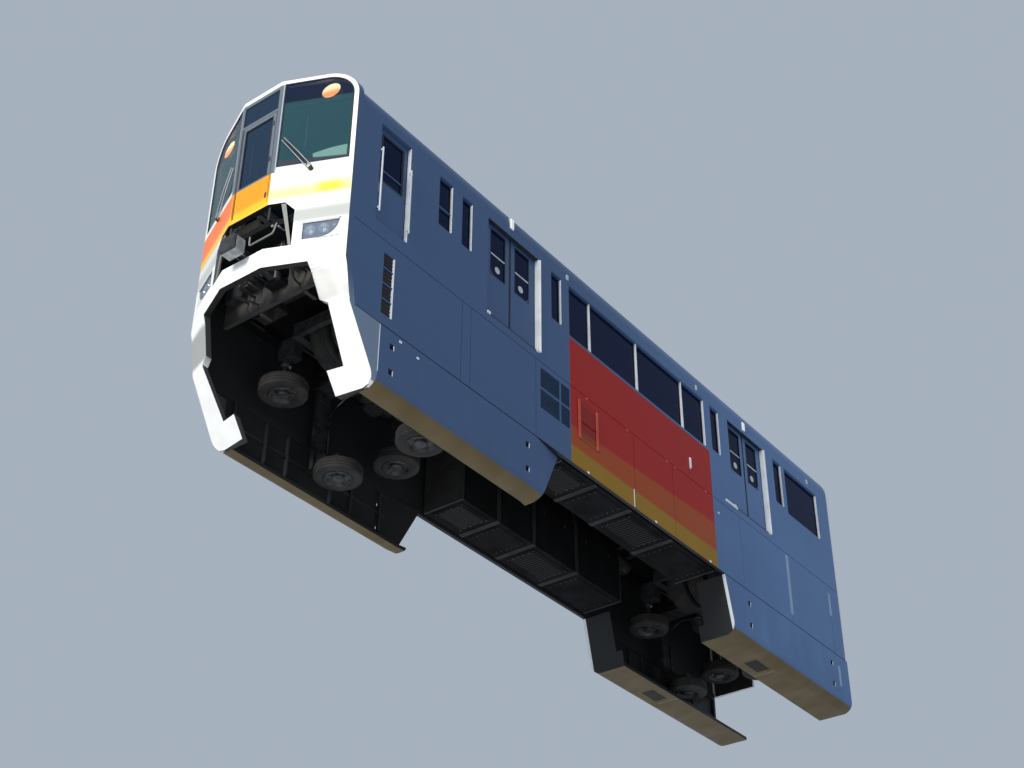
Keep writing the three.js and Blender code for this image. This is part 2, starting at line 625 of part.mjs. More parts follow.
// Driver's desk, the cabinet opposite and the driver's seat, on one base plate
function cabFittings() {
  const base = block(6300, 7250, -1340, 1340, Z_FLOOR + GAP, Z_FLOOR + 12);
  const desk = prism('y', [[6950, 1140], [7280, 1140], [7330, 1900], [7000, 1820]], 430, 1340);
  const cabinet = prism('y', [[6950, 1140], [7280, 1140], [7330, 1850], [7050, 1800]], -1340, -430);
  const column = bar('z', 60, Z_FLOOR + 11, 1560, 6660, 600, 12);
  const cushion = block(6450, 6880, 390, 810, 1550, 1650);
  const back = prism('y', [[6450, 1640], [6530, 1640], [6490, 2230], [6410, 2230]], 400, 800);
  return join(base, desk, cabinet, column, cushion, back).intersect(noseSpace(NOSE_SHELL + 20, 0, 3000));
}

piece('cab_fittings', cabFittings(), TRIM, car);

// Benches along the side walls
function bench(x0, x1) {
  return prism('x', [
    [1400, Z_FLOOR + GAP], [1400, 1930], [1340, 1930], [1290, 1600], [930, 1600], [920, 1480],
    [1000, 1470], [1040, Z_FLOOR + GAP],
  ].reverse(), x0, x1);
}

bothSides('bench_middle', bench(-2250, 1930), SEAT, car);
bothSides('bench_end', bench(-6650, -5240), SEAT, car);

// Grab rails under the ceiling with poles down to the floor
function grabRails() {
  const railZ = 2900;
  const poles = [2030, -2350, -5180];
  const sides = [1, -1].flatMap((side) => [
    bar('x', 17, -6500, 5200, side * 900, railZ, 8),
    ...poles.map((x) => bar('z', 17, Z_FLOOR + GAP, Z_CEILING - GAP, x, side * 900, 8)),
  ]);
  const across = poles.map((x) => bar('y', 17, -900, 900, x, railZ, 8));
  return join(...sides, ...across);
}

piece('grab_rails', grabRails(), STEEL, car);

// Equipment boxes under the floor between the bogies
function equipment() {
  const outer = HALF_WIDTH - SKIN - 60;
  const rail = block(-2450, 2050, 700, 1240, 780, Z_FLOOR - FLOOR_PLATE - GAP);
  const boxes = [[-2450, -1100], [-1080, 130], [150, 1100], [1120, 2050]].map(([x0, x1]) => (
    prism('x', [[560, -430], [outer, -430], [outer, 800], [640, 800], [560, 500]], x0, x1)));
  return join(rail, ...boxes);
}

bothSides('equipment', equipment(), DARK, car);

// A passenger door leaf; the leaves of one doorway slide apart, behind the wall
const LEAF = { outer: HALF_WIDTH - SKIN - 23, thickness: 32, width: 715, seam: 2.5, bottom: Z_FLOOR + 6 };
const LEAF_PANE = { near: 120, far: 500, bottom: 2020, top: 2925 };

function doorLeaf(direction) {
  const { outer, thickness, width, seam, bottom } = LEAF;
  const along = (a, b, y0, y1, z0, z1) => block(Math.min(direction * a, direction * b),
    Math.max(direction * a, direction * b), y0, y1, z0, z1);
  const leaf = along(seam, width, outer - thickness, outer, bottom, DOOR_RAIL.bottom - GAP);
  const pane = along(LEAF_PANE.near, LEAF_PANE.far, outer - thickness - 1, outer + 1,
    LEAF_PANE.bottom, LEAF_PANE.top);
  return cut(leaf, pane);
}

for (const { name, x } of DOORWAYS) {
  const doorway = new THREE.Group();
  doorway.position.set(x, 0, 0);
  car.add(doorway);
  bothSides(`door_${name}_fore`, doorLeaf(1), SILVER, doorway);
  bothSides(`door_${name}_aft`, doorLeaf(-1), SILVER, doorway);
}

// Crew door, hinged at its rear edge and opening inwards
function crewDoor() {
  const { front, rear, bottom, top, thickness, recess } = CREW_DOOR;
  const outer = HALF_WIDTH - recess;
  const leaf = block(rear + 10, front - 8, outer - thickness, outer, bottom + CLEAR, top - CLEAR);
  const pane = block(CREW_WINDOW.rear, CREW_WINDOW.front, outer - thickness - 1, outer + 1,
    CREW_WINDOW.bottom, CREW_WINDOW.top);
  return cut(leaf, pane);
}

bothSides('crew_door', crewDoor(), SILVER, car);

// Couplers, each with an eye that turns in its yoke
function coupler(shank, head) {
  const { radius, half } = COUPLER_EYE;
  const eye = bar('z', radius, COUPLER_Z - half, COUPLER_Z + half, 0, 0, 20);
  const rod = block(60, shank + 10, -50, 50, COUPLER_Z - 50, COUPLER_Z + 50);
  const face = block(shank, head, -150, 150, COUPLER_Z - 130, COUPLER_Z + 130);
  return join(eye, rod, face);
}

const frontCoupler = new THREE.Group();
frontCoupler.position.set(COUPLER_PIVOTS.front, 0, 0);
car.add(frontCoupler);
piece('coupler_front', coupler(760, 960), STEEL, frontCoupler);

const rearCoupler = new THREE.Group();
rearCoupler.position.set(COUPLER_PIVOTS.rear, 0, 0);
rearCoupler.rotation.z = Math.PI;
car.add(rearCoupler);
piece('coupler_rear', coupler(300, COUPLER_PIVOTS.rear - COUPLING), STEEL, rearCoupler);

// Bogie frame with its springs, axle supports and the hangers of the side wheels
const FRAME = { beamInner: 440, beamOuter: 570, bottom: 400, top: 640 };

function bogieFrame() {
  const { beamInner, beamOuter, bottom, top } = FRAME;
  const endX = AXLE_X + TYRE_RADIUS + 40;
  const solids = [
    block(-185, 185, -1260, 1260, 430, 700),
    bar('z', 140, 690, Z_FLOOR - FLOOR_PLATE - SILL - GAP, 0, 0, 24),
  ];
  for (const end of [1, -1]) {
    solids.push(block(Math.min(end * endX, end * (endX + 90)), Math.max(end * endX, end * (endX + 90)),
      -beamOuter, beamOuter, bottom + 20, top - 20));
  }
  for (const side of [1, -1]) {
    const across = (x0, x1, y0, y1, z0, z1) => block(x0, x1,
      Math.min(side * y0, side * y1), Math.max(side * y0, side * y1), z0, z1);
    solids.push(across(-endX - 90, endX + 90, beamInner, beamOuter, bottom, top));
    solids.push(bar('z', 240, 690, Z_FLOOR - FLOOR_PLATE - SILL - CLEAR, 0, side * 760, 20));
    solids.push(across(-150, 150, 1190, 1260, STABILISER_TOP + 60, 500));
    solids.push(across(-110, 110, 720, 1260, STABILISER_TOP + 60, STABILISER_TOP + 160));
    solids.push(bar('z', 55, STABILISER_TOP + 30 + GAP, STABILISER_TOP + 70, 0, side * GUIDE_Y, 12));
    for (const x of [GUIDE_X, -GUIDE_X]) {
      solids.push(across(x - 90, x + 90, beamOuter - 10, 880, 120, 480));
      solids.push(bar('z', 55, GUIDE_TOP + 30 + GAP, 140, x, side * GUIDE_Y, 12));
    }
  }
  return join(...solids);
}

// A body of revolution from half its outline, each point a radius and a place along the axis
function turned(outline, sides) {
  const geometry = new THREE.LatheGeometry(outline.map(([r, h]) => new THREE.Vector2(r, h)), sides);
  return toSolid(geometry);
}

// Twin tyres on one axle, turned about the axle
function wheelset() {
  const outer = TYRE_OUTER_Y;
  const inner = TWIN_GAP / 2;
  const shoulder = 45;
  const half = [
    [TYRE_RADIUS - shoulder, inner], [TYRE_RADIUS, inner + shoulder], [TYRE_RADIUS, outer - shoulder],
    [TYRE_RADIUS - shoulder, outer], [290, outer], [270, outer - 60], [110, outer - 60],
    [110, FRAME.beamInner - GAP],
  ];
  const outline = [
    [0, -(FRAME.beamInner - GAP)],
    ...half.map(([r, y]) => [r, -y]).reverse(),
    [240, -inner], [240, inner],
    ...half,
    [0, FRAME.beamInner - GAP],
  ];
  return turned(outline, 24);
}

function sideWheel() {
  const shoulder = 30;
  return turned([
    [0, -GUIDE_WIDTH], [120, -GUIDE_WIDTH], [GUIDE_RADIUS - shoulder, -GUIDE_WIDTH],
    [GUIDE_RADIUS, -GUIDE_WIDTH + shoulder], [GUIDE_RADIUS, -shoulder], [GUIDE_RADIUS - shoulder, 0],
    [110, 0], [110, 30], [0, 30],
  ], 20);
}

function bogie(name, x) {
  const group = new THREE.Group();
  group.position.set(x, 0, 0);
  car.add(group);
  piece(`bogie_frame_${name}`, bogieFrame(), DARK, group);
  const ends = [{ end: 'fore', sign: 1 }, { end: 'aft', sign: -1 }];
  for (const { end, sign } of ends) {
    const wheels = piece(`wheelset_${name}_${end}`, wheelset(), TYRE, group);
    wheels.position.set(sign * AXLE_X, 0, TYRE_RADIUS);
  }
  const wheel = sideWheel();
  for (const { side, turn } of [{ side: 'left', turn: 1 }, { side: 'right', turn: -1 }]) {
    const guides = ends.map(({ end, sign }) => (
      { label: `guide_wheel_${name}_${end}_${side}`, at: sign * GUIDE_X, top: GUIDE_TOP }));
    const places = [...guides, { label: `stabiliser_${name}_${side}`, at: 0, top: STABILISER_TOP }];
    for (const { label, at, top } of places) {
      const mesh = piece(label, wheel, TYRE, group);
      mesh.rotation.x = Math.PI / 2;
      mesh.position.set(at, turn * GUIDE_Y, top);
    }
  }
}

for (const { name, x } of BOGIES) bogie(name, x);

export default car;
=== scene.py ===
"""The looks of a straddle-beam monorail cab car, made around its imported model. Everything is in
metres in the model's own frame: +X to the nose, +Y to the car's left, +Z up, z = 0 on the beam."""
import math

import bmesh
import bpy
from mathutils import Matrix, Vector


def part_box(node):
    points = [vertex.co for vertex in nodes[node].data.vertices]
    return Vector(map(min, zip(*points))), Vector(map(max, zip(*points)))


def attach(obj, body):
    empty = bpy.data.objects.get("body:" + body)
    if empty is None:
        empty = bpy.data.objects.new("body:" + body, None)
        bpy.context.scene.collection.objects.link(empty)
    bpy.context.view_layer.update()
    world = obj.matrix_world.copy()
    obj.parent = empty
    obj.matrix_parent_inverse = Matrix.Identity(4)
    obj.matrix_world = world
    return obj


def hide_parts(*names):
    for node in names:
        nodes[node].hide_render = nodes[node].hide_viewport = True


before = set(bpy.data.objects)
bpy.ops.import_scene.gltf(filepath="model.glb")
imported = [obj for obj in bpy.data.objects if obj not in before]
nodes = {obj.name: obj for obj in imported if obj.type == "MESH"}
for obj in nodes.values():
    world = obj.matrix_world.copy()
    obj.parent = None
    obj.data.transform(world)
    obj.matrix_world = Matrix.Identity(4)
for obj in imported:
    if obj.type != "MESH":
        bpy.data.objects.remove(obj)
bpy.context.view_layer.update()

# Driving sizes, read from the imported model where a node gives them
HALF_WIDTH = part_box("roof")[1][1]
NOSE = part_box("front_door")[1][0]
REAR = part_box("rear_wall")[0][0]
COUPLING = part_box("gangway_bellows")[0][0]
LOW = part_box("nose_frame")[0][2]
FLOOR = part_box("floor")[1][2]
SKIN = 0.06
INNER = HALF_WIDTH - SKIN
PANEL_TOP = 0.98
SKIRT_TOP = -0.45
SIDE_FRONT = 7.15
POST_Y = 0.39
ROOF_TOP = 3.7302
COUPLER_Z = 0.64
SIDE_WHEEL_Y = 0.79
AXLE_REACH = 0.75
AXLE_Z = 0.503
GUIDE_REACH = 1.25
UNIT_REACH = 3.40
FAN_REACH = 0.75
SPRING_Y = 0.76
LAMP_BED = -0.066
BAR_Z = 2.42
PIPE_SIDES = 10
PAD_ROWS = 9
PAD_COLUMNS = 26
PAD_POWER = 0.32
CEILING_TOP = 3.299
BOGIES = {"front": 4.66, "rear": -4.94}
DOORWAYS = {"front": 3.43, "rear": -3.77}
DOORWAY_HALF = 0.66
DOORWAY_TOP = 2.975
LEAF_PANE = (0.12, 0.50, 2.02, 2.925)
WINDOWS = [
    # front edge, rear edge, bottom, top
    (5.29, 4.95, 2.04, 3.00), (4.74, 4.47, 2.01, 2.98), (2.44, 2.14, 2.01, 2.98),
    (1.95, -2.28, 1.95, 2.98), (-2.48, -2.80, 2.01, 2.98), (-4.79, -5.13, 2.01, 2.98),
    (-5.24, -6.55, 1.95, 2.98),
]
CAB_WINDOW_FRONT = 5.29
BAND_MULLIONS = [1.33, -0.08, -1.53]
PANEL_X = (-2.36, 1.95)
HATCH = (1.17, 1.77, 0.09, 0.84)
SKIRT_HOLES = [(x, z) for x in (6.13, 3.07, -3.38, -6.40) for z in (-0.705, -1.12)]
SIDES = {"left": 1, "right": -1}
ENDS = ("fore", "aft")
FORE, AFT, LEFT, UP, DOWN = (1, 0, 0), (-1, 0, 0), (0, 1, 0), (0, 0, 1), (0, 0, -1)


def tint(code):
    """The linear colour of a six-digit display colour."""
    channels = [int(code[i:i + 2], 16) / 255 for i in (0, 2, 4)]
    return (*(c / 12.92 if c <= 0.04045 else ((c + 0.055) / 1.055) ** 2.4 for c in channels), 1.0)


# Shader maths
class Wire:
    """A socket of a finish. Python's operators carry its value on through Math nodes."""

    def __init__(self, finish, socket):
        self.finish = finish
        self.socket = socket

    def math(self, operation, *others):
        values = dict(enumerate((self, *others)))
        return self.finish.node("ShaderNodeMath", {"operation": operation}, values)

    def __add__(self, other):
        return self.math("ADD", other)

    def __rsub__(self, other):
        return self.math("MULTIPLY", -1.0).math("ADD", other)

    def __mul__(self, other):
        return self.math("MULTIPLY", other)

    def rise(self, edge, soft):
        """0 below an edge and 1 above it, turning over a soft width."""
        values = {0: self, 1: edge - soft / 2, 2: edge + soft / 2}
        return self.finish.node("ShaderNodeMapRange", {"interpolation_type": "SMOOTHSTEP"}, values)

    def fall(self, edge, soft):
        return 1 - self.rise(edge, soft)

    def between(self, low, high, soft):
        return self.rise(low, soft) * self.fall(high, soft)


class Finish:
    """One material, its node tree and its colour so far."""

    def __init__(self, name, roughness=0.5, metallic=0.0, coat=0.0, shine=0.5, colour="ffffff"):
        self.material = bpy.data.materials.new(name)
        self.material.use_nodes = True
        self.tree = self.material.node_tree
        self.shader = self.tree.nodes["Principled BSDF"]
        self.colour = tint(colour)
        self.set("Roughness", roughness)
        self.set("Metallic", metallic)
        self.set("Coat Weight", coat)
        self.set("Specular IOR Level", shine)
        self.point = self.node("ShaderNodeTexCoord", output="Object")
        self.facing = self.node("ShaderNodeTexCoord", output="Normal")

    def feed(self, socket, value):
        if isinstance(value, Wire):
            self.tree.links.new(value.socket, socket)
        else:
            socket.default_value = tint(value) if isinstance(value, str) else value

    def set(self, socket, value):
        self.feed(self.shader.inputs[socket], value)

    def node(self, kind, settings=None, values=None, output=0):
        """A node of any kind: its settings first, then what its sockets hold or are linked to."""
        node = self.tree.nodes.new(kind)
        for key, value in (settings or {}).items():
            setattr(node, key, value)
        for key, value in (values or {}).items():
            self.feed(node.inputs[key], value)
        return Wire(self, node.outputs[output])

    def axes(self):
        """The three coordinates of a point in the car's frame."""
        return [self.node("ShaderNodeSeparateXYZ", values={0: self.point}, output=i) for i in range(3)]

    def turned_to(self, number):
        """How far a face is turned to an axis, from -1 to 1."""
        return self.node("ShaderNodeSeparateXYZ", values={0: self.facing}, output=number)

    def turned_out(self):
        """1 on faces turned away from the car's middle and -1 on those turned towards it."""
        return self.turned_to(1) * self.axes()[1].math("SIGN")

    def mix(self, mask, under, over):
        """A colour that is under where the mask is 0 and over where it is 1."""
        values = {0: mask, 6: under, 7: over}
        return self.node("ShaderNodeMix", {"data_type": "RGBA"}, values, output=2)

    def lay(self, mask, colour):
        """Lays a colour over the finish where the mask is 1."""
        self.colour = self.mix(mask, self.colour, colour)

    def noise(self, scale, detail=3.0, stretch=(1.0, 1.0, 1.0)):
        values = {0: self.point, 1: stretch}
        place = self.node("ShaderNodeVectorMath", {"operation": "MULTIPLY"}, values)
        return self.node("ShaderNodeTexNoise", values={"Vector": place, "Scale": scale, "Detail": detail})

    def relief(self, height, distance):
        values = {"Height": height, "Distance": distance}
        self.set("Normal", self.node("ShaderNodeBump", values=values))

    def done(self):
        self.set("Base Color", self.colour)
        return self.material


# Finishes of the outside
def silver_paint():
    """Blue-silver side paint, with the warm coloured panel in the middle of the car. Its slate blue is
    partly the paint's own tone and partly painted sky reflection and shade.
    """
    finish = Finish("silver_paint", metallic=0.1, shine=0.15)
    x, y, z = finish.axes()
    off = y.math("ABSOLUTE")
    ahead, out, up = finish.turned_to(0), finish.turned_out(), finish.turned_to(2)
    # Slate-blue silver in random tones: partly its own tone, partly painted sky reflection and shade.
    finish.colour = finish.mix(finish.noise(0.7, 2.0).rise(0.5, 0.5), "5574a0", "5c7ba6")
    # The side is painted darker towards the nose: painted shade.
    finish.lay(x.rise(-1.0, 8.0), "445c80")
    panel = finish.mix((z + x * 0.045).rise(0.325, 0.08), "a2440d", "a41407")
    panel = finish.mix(z.rise(-0.12, 0.08), "97700c", panel)
    finish.lay(x.between(*PANEL_X, 0.008) * z.between(SKIRT_TOP, 1.91, 0.008), panel)
    x0, x1, z0, z1 = HATCH
    # The hatch's middle between its bars is darkened: painted shade in its inset.
    inset = x.between(x0 + 0.08, x1 - 0.08, 0.006) * z.between(z0 + 0.06, z1 - 0.06, 0.006)
    finish.lay(inset * 0.35, "2a0c0a")
    finish.lay(off.rise(HALF_WIDTH + 0.016, 0.002), "c9ced2")
    streaks = finish.noise(1.2, 4.0, (2.0, 1.0, 0.6))
    dirt = z.fall(-0.3, 2.2) * streaks.rise(0.5, 0.5)
    finish.lay(dirt * 0.12, "54585c")
    # Beige undersides of the skirts: partly their own tone, partly painted warm bounce light from below.
    underside_tone_and_bounce = finish.mix(streaks.rise(0.5, 0.6), "6f6044", "625439")
    flap = x.between(-4.46, -3.98, 0.006) * off.between(0.95, 1.20, 0.006)
    seam = x.between(-4.59, -4.575, 0.003) * off.between(0.80, 1.22, 0.003)
    underside_tone_and_bounce = finish.mix(seam, finish.mix(flap, underside_tone_and_bounce, "2b261e"), "a09478")
    finish.lay(z.fall(LOW + 0.10, 0.06), underside_tone_and_bounce)
    # Front-facing faces on the skirts' skin are painted near-white: painted sunlight on their front edges.
    forward = ahead.rise(0.7, 0.2) * z.fall(SKIRT_TOP, 0.01)
    on_skin = off.rise(INNER, 0.004)
    finish.lay(forward * on_skin, "dfe5ea")
    # Faces inside the skirts, the lips' tops, the end plates behind the skin and the joint's ledges go dark
    # grey: partly unpainted metal, partly painted shade.
    inside = out.fall(-0.5, 0.3)
    lip = up.rise(0.7, 0.2) * z.fall(LOW + 0.2, 0.01)
    joint = up.math("ABSOLUTE").rise(0.6, 0.2) * z.between(-0.53, -0.37, 0.01)
    hidden = inside * z.fall(PANEL_TOP, 0.02)
    for mask in (lip, forward * (1 - on_skin), joint):
        hidden = hidden.math("MAXIMUM", mask)
    finish.lay(hidden, "2f3031")
    finish.lay(inside * z.rise(PANEL_TOP, 0.02) * off.fall(INNER + 0.01, 0.004), "c9c6bd")
    covers = finish.mix(z.rise(3.715, 0.002), "83898e", "9aa0a4")
    covers = finish.mix(streaks.rise(0.5, 0.4) * 0.4, covers, "6f7478")
    finish.lay(up.rise(0.8, 0.1) * z.rise(3.4, 0.01) * off.fall(1.02, 0.006), covers)
    finish.lay(ahead.rise(0.7, 0.2) * z.rise(3.2, 0.01) * x.rise(6.9, 0.01), "101724")
    finish.set("Roughness", dirt * 0.2 + 0.34)
    finish.relief(finish.noise(55.0, 2.0), 0.0006)
    return finish.done()


def nose_paint():
    """White paint with the warm band round the nose, grey posts beside the centre door, and the
    side's silver where the moulding turns back along the side."""
    finish = Finish("nose_paint", coat=0.12, shine=0.25, colour="f1f1ee")
    x, y, z = finish.axes()
    across = y.math("ABSOLUTE")
    ahead, out, up = finish.turned_to(0), finish.turned_out(), finish.turned_to(2)
    near = y.rise(POST_Y, 0.02)
    band_colour = finish.mix(y.rise(-POST_Y, 0.02), "f4742a", "e2961c")
    band_colour = finish.mix(z.rise(1.49, 0.16), "f0c22c", band_colour)
    # On the near facet the band pales upwards from yellow to cream and near-white: the livery's yellow with
    # painted sun glare.
    near_band_and_glare = finish.mix(z.rise(1.62, 0.26), "f4ee9c", "fdfceb")
    patch = y.between(1.04, 1.37, 0.20) * z.between(1.42, 1.62, 0.16)
    near_band_and_glare = finish.mix(patch, near_band_and_glare, "ece14a")
    from_edge = x.rise(SIDE_FRONT - 0.02, 0.01) * z.fall(1.925, 0.01)
    finish.lay(from_edge * (1 - near) * z.rise(1.335, 0.01), band_colour)
    finish.lay(from_edge * near * z.rise(1.41, 0.14), near_band_and_glare)
    # Grey laid over the white above the headlamps, deepest just over them: painted shade.
    in_front = across.rise(0.76, 0.04) * x.rise(SIDE_FRONT - 0.03, 0.01)
    finish.lay(z.between(0.95, 1.36, 0.14) * in_front * 0.4, "b4b7b0")
    finish.lay(z.between(0.95, 1.16, 0.09) * in_front * 0.6, "a6aaa2")
    # The white is greyed across the legs' upper part: painted shade.
    finish.lay(z.between(-0.37, 0.11, 0.10), "9fa19f")
    posts = across.fall(0.437, 0.004) * z.between(1.925, 3.66, 0.006) * x.rise(NOSE - 0.14, 0.01)
    finish.lay(posts, finish.mix(across.rise(0.418, 0.004), "626b74", "a3abb3"))
    soot = finish.noise(3.0, 5.0).rise(0.52, 0.3) * z.fall(0.2, 1.6)
    finish.lay(soot * 0.12, "8b887e")
    sideways = (out + up * z.rise(3.2, 0.01)).rise(0.75, 0.1) * ahead.fall(0.35, 0.2)
    finish.lay(sideways, finish.mix(z.rise(-0.2, 0.7), "6d7f94", "3c5476"))
    # Faces turned straight down, below the band, are painted near-black: painted shade under ledges and
    # feet.
    finish.lay(up.fall(-0.96, 0.04) * z.fall(1.36, 0.01), "24221f")
    # Faces turned inwards, and low faces turned back, are darkened as painted shade: dark grey low down,
    # and a lighter grey above the pocket's floor standing for light on the pocket's walls.
    inwards = out.fall(-0.6, 0.2) * z.fall(1.36, 0.01)
    backwards = ahead.fall(-0.6, 0.2) * z.fall(0.3, 0.01)
    pocket_shade_and_light = finish.mix(z.rise(0.54, 0.01), "4a4b4c", "8b948e")
    finish.lay(inwards.math("MAXIMUM", backwards), pocket_shade_and_light)
    finish.set("Roughness", soot * 0.2 + 0.28)
    finish.relief(finish.noise(55.0, 2.0), 0.0005)
    return finish.done()


def wandering(name, clean, worn, roughness, scale=5.0, grain=None, **looks):
    """A finish whose colour and gloss wander between clean and worn patches."""
    finish = Finish(name, colour=clean, **looks)
    patches = finish.noise(scale, 5.0).rise(0.52, 0.3)
    finish.lay(patches, worn)
    finish.set("Roughness", patches * 0.12 + roughness)
    if grain:
        finish.relief(finish.noise(grain[0], 4.0), grain[1])
    return finish.done()


def tinted_glass(name, colour, alpha, shine):
    finish = Finish(name, roughness=0.05, shine=shine, colour=colour)
    finish.set("Alpha", alpha)
    return finish.done()


def windscreen_glass():
    """Tinted glass, darker where it covers the header and along its foot."""
    finish = Finish("windscreen_glass", roughness=0.05, shine=0.4, colour="30565f")
    y, z = finish.axes()[1:]
    foot = (z + y.math("ABSOLUTE") * 0.073).fall(2.19, 0.01)
    finish.lay(z.rise(3.29, 0.012), "182440")
    finish.lay(foot, "3a4048")
    finish.set("Alpha", foot * 0.42 + 0.5)
    return finish.done()


def warm_lens():
    """A lit lamp, paler in its upper half."""
    finish = Finish("warm_lens", roughness=0.15, coat=0.4, colour="f09c50")
    finish.lay(finish.axes()[2].rise(3.44, 0.10), "ffeab8")
    finish.set("Emission Color", finish.colour)
    finish.set("Emission Strength", 4.2)
    return finish.done()


def lit_lens(name, colour, glow):
    finish = Finish(name, roughness=0.12, coat=0.6, colour=colour)
    finish.set("Emission Color", colour)
    finish.set("Emission Strength", glow)
    return finish.done()


def seat_weave():
    finish = Finish("seat_weave", roughness=0.95, colour="2c4670")
    x, y, z = finish.axes()
    threads = (x * 900.0).math("SINE") * ((y + z) * 900.0).math("SINE")
    finish.lay(threads.rise(0.0, 1.2), "3f6090")
    finish.lay(finish.noise(30.0, 3.0).rise(0.55, 0.2) * 0.3, "233450")
    finish.relief(threads, 0.0005)
    return finish.done()


SILVER = silver_paint()
NOSE_WHITE = nose_paint()
WHITE = wandering("white_enamel", "e4e5e3", "dcddda", 0.3, 1.5, coat=0.3)
DARK = wandering("dark_frame_paint", "2b2c2e", "3f3a33", 0.62, 4.0, (60.0, 0.0008))
UNDER = wandering("underside_grey", "2e3031", "25231f", 0.65, 2.5, (45.0, 0.0008))
MACHINE = wandering("machine_paint", "34373b", "262320", 0.5, 7.0, (80.0, 0.0006), metallic=0.2)
STEEL = wandering("steel_parts", "7d7f82", "56514a", 0.35, 9.0, metallic=0.9)
ALUMINIUM = wandering("aluminium_trim", "aeb2b5", "989b9c", 0.32, 3.0, metallic=0.85)
PALE_TRIM = wandering("pale_trim", "cfd3d4", "bcc0c0", 0.35, 3.0, metallic=0.3)
CHROME = wandering("chrome", "e6e8ea", "d9dcde", 0.08, metallic=1.0)
BRASS = wandering("brass_fittings", "9b7a3c", "6e5a33", 0.4, 12.0, metallic=0.9)
TYRE = wandering("tyre_rubber", "1d1d1f", "33302b", 0.85, 6.0, (140.0, 0.0008))
RUBBER = wandering("seal_rubber", "18191b", "26262a", 0.7, 8.0)
BELLOWS = wandering("bellows_cloth", "4a4d52", "3b3c3e", 0.85, 5.0, (300.0, 0.0006))
TRIM = wandering("interior_panel", "d2cfc6", "c6c2b8", 0.6, 2.0)
DESK = wandering("desk_top", "b9cdc4", "a9bdb4", 0.5, 3.0)
SCREEN = wandering("blank_screen", "0d1114", "141a1e", 0.12, coat=0.6)
CEILING_WHITE = wandering("ceiling_panel", "e4e4df", "d9d9d3", 0.6, 2.0)
CARPET = wandering("floor_covering", "6f7478", "5f6366", 0.8, 8.0, (200.0, 0.0004))
# Near-black for gaps, slots, holes and hollows: dark joints and painted shade.
DARK_AND_SHADE = wandering("dark_joints_and_painted_shade", "121314", "1c1b1a", 0.7)
# Slate blue-grey behind grille blades: painted shade.
SLOT_SHADE = wandering("painted_slot_shade", "2f3d50", "28323f", 0.7)
# Near-white for jambs, rims, strips and screws: partly pale paint, partly painted sunlight.
PALE_AND_SUNLIT = wandering("pale_paint_and_sunlight", "e9ecee", "d6dadd", 0.4, 3.0)
# Near-black case paint: the cases' own dark paint, darkened further as painted shade under the car.
CASE_PAINT_AND_SHADE = wandering("case_paint_and_shade", "18191b", "131312", 0.75, 3.0, (60.0, 0.0006), shine=0.08)
# Brackets on the warm panel, paler than it: panel red with painted sunlight.
BRACKET_RED_AND_SUNLIT = wandering("bracket_red_and_sunlight", "c9604c", "b4523f", 0.5)
# The hatch's bars, paler than the panel: panel orange-red with painted sunlight.
BAR_RED_AND_SUNLIT = wandering("warm_bars_and_sunlight", "c8482a", "b43c20", 0.5, 2.0)
PALE_BLUE = wandering("pale_blue_strip", "8ea4c0", "8298b4", 0.4, 2.0)
WHEEL_RIM = wandering("wheel_rims", "4d4f52", "36332e", 0.5, 9.0, metallic=0.5)
CAST_METAL = wandering("cast_metal", "a4a7a9", "85878a", 0.45, 8.0, metallic=0.3)
STRUT_GREY = wandering("strut_grey", "84877f", "767a74", 0.5, 3.0)
HOOD = wandering("lamp_hood", "3c1f14", "2a1812", 0.5)
SEAT = seat_weave()
SIDE_GLASS = tinted_glass("saloon_glass", "041638", 0.97, 0.045)
SCREEN_GLASS = windscreen_glass()
DOOR_GLASS = tinted_glass("front_door_glass", "1a3249", 0.62, 0.3)
CLEAR_GLASS = tinted_glass("lamp_cover", "93a1b6", 0.36, 0.7)
LAMP_WHITE = lit_lens("lamp_white", "f4f6f2", 0.25)
LAMP_WARM = warm_lens()
LAMP_RED = lit_lens("lamp_red", "b3201a", 0.1)
TUBE_LIGHT = lit_lens("ceiling_light", "fff7e6", 0.6)
SUNLIT = lit_lens("sunlit_shelf", "bff0dc", 1.1)


# Shapes. A part is a list of corners and a list of faces
def facet(y, z, out=0.0):
    """A point on the nose's left side facet, or a distance in front of it."""
    slope = (NOSE - SIDE_FRONT) / (HALF_WIDTH - POST_Y)
    normal = Vector((1, slope, 0)).normalized()
    return Vector((NOSE - (y - POST_Y) * slope, y, z)) + normal * out


FACET_NORMAL = facet(1, 1, 1) - facet(1, 1)


def at(axis, along, u, v):
    """A point from a place along one axis and the other two coordinates in X, Y, Z order, or from a
    distance in front of the facet with its Y and Z."""
    if axis == "facet":
        return facet(u, v, along)
    return {"x": (along, u, v), "y": (u, along, v), "z": (u, v, along)}[axis]


def box(x, y, z):
    corners = [(a, b, c) for a in x for b in y for c in z]
    faces = [(0, 1, 3, 2), (4, 6, 7, 5), (0, 4, 5, 1), (2, 3, 7, 6), (0, 2, 6, 4), (1, 5, 7, 3)]
    return corners, faces


def skin(loops, closed_along=False, capped=True):
    """Joins loops of corners, all of one length, into a tube."""
    size = len(loops[0])
    count = len(loops)
    corners = [tuple(corner) for loop in loops for corner in loop]
    faces = []
    for i in range(count if closed_along else count - 1):
        here = i * size
        there = (i + 1) % count * size
        for j in range(size):
            k = (j + 1) % size
            faces.append((here + j, here + k, there + k, there + j))
    if capped and not closed_along:
        faces.append(tuple(range(size))[::-1])
        faces.append(tuple(range((count - 1) * size, count * size)))
    return corners, faces


def slab(axis, outline, low, high):
    """An outline drawn across an axis, pushed along it."""
    return skin([[at(axis, place, u, v) for u, v in outline] for place in (low, high)])


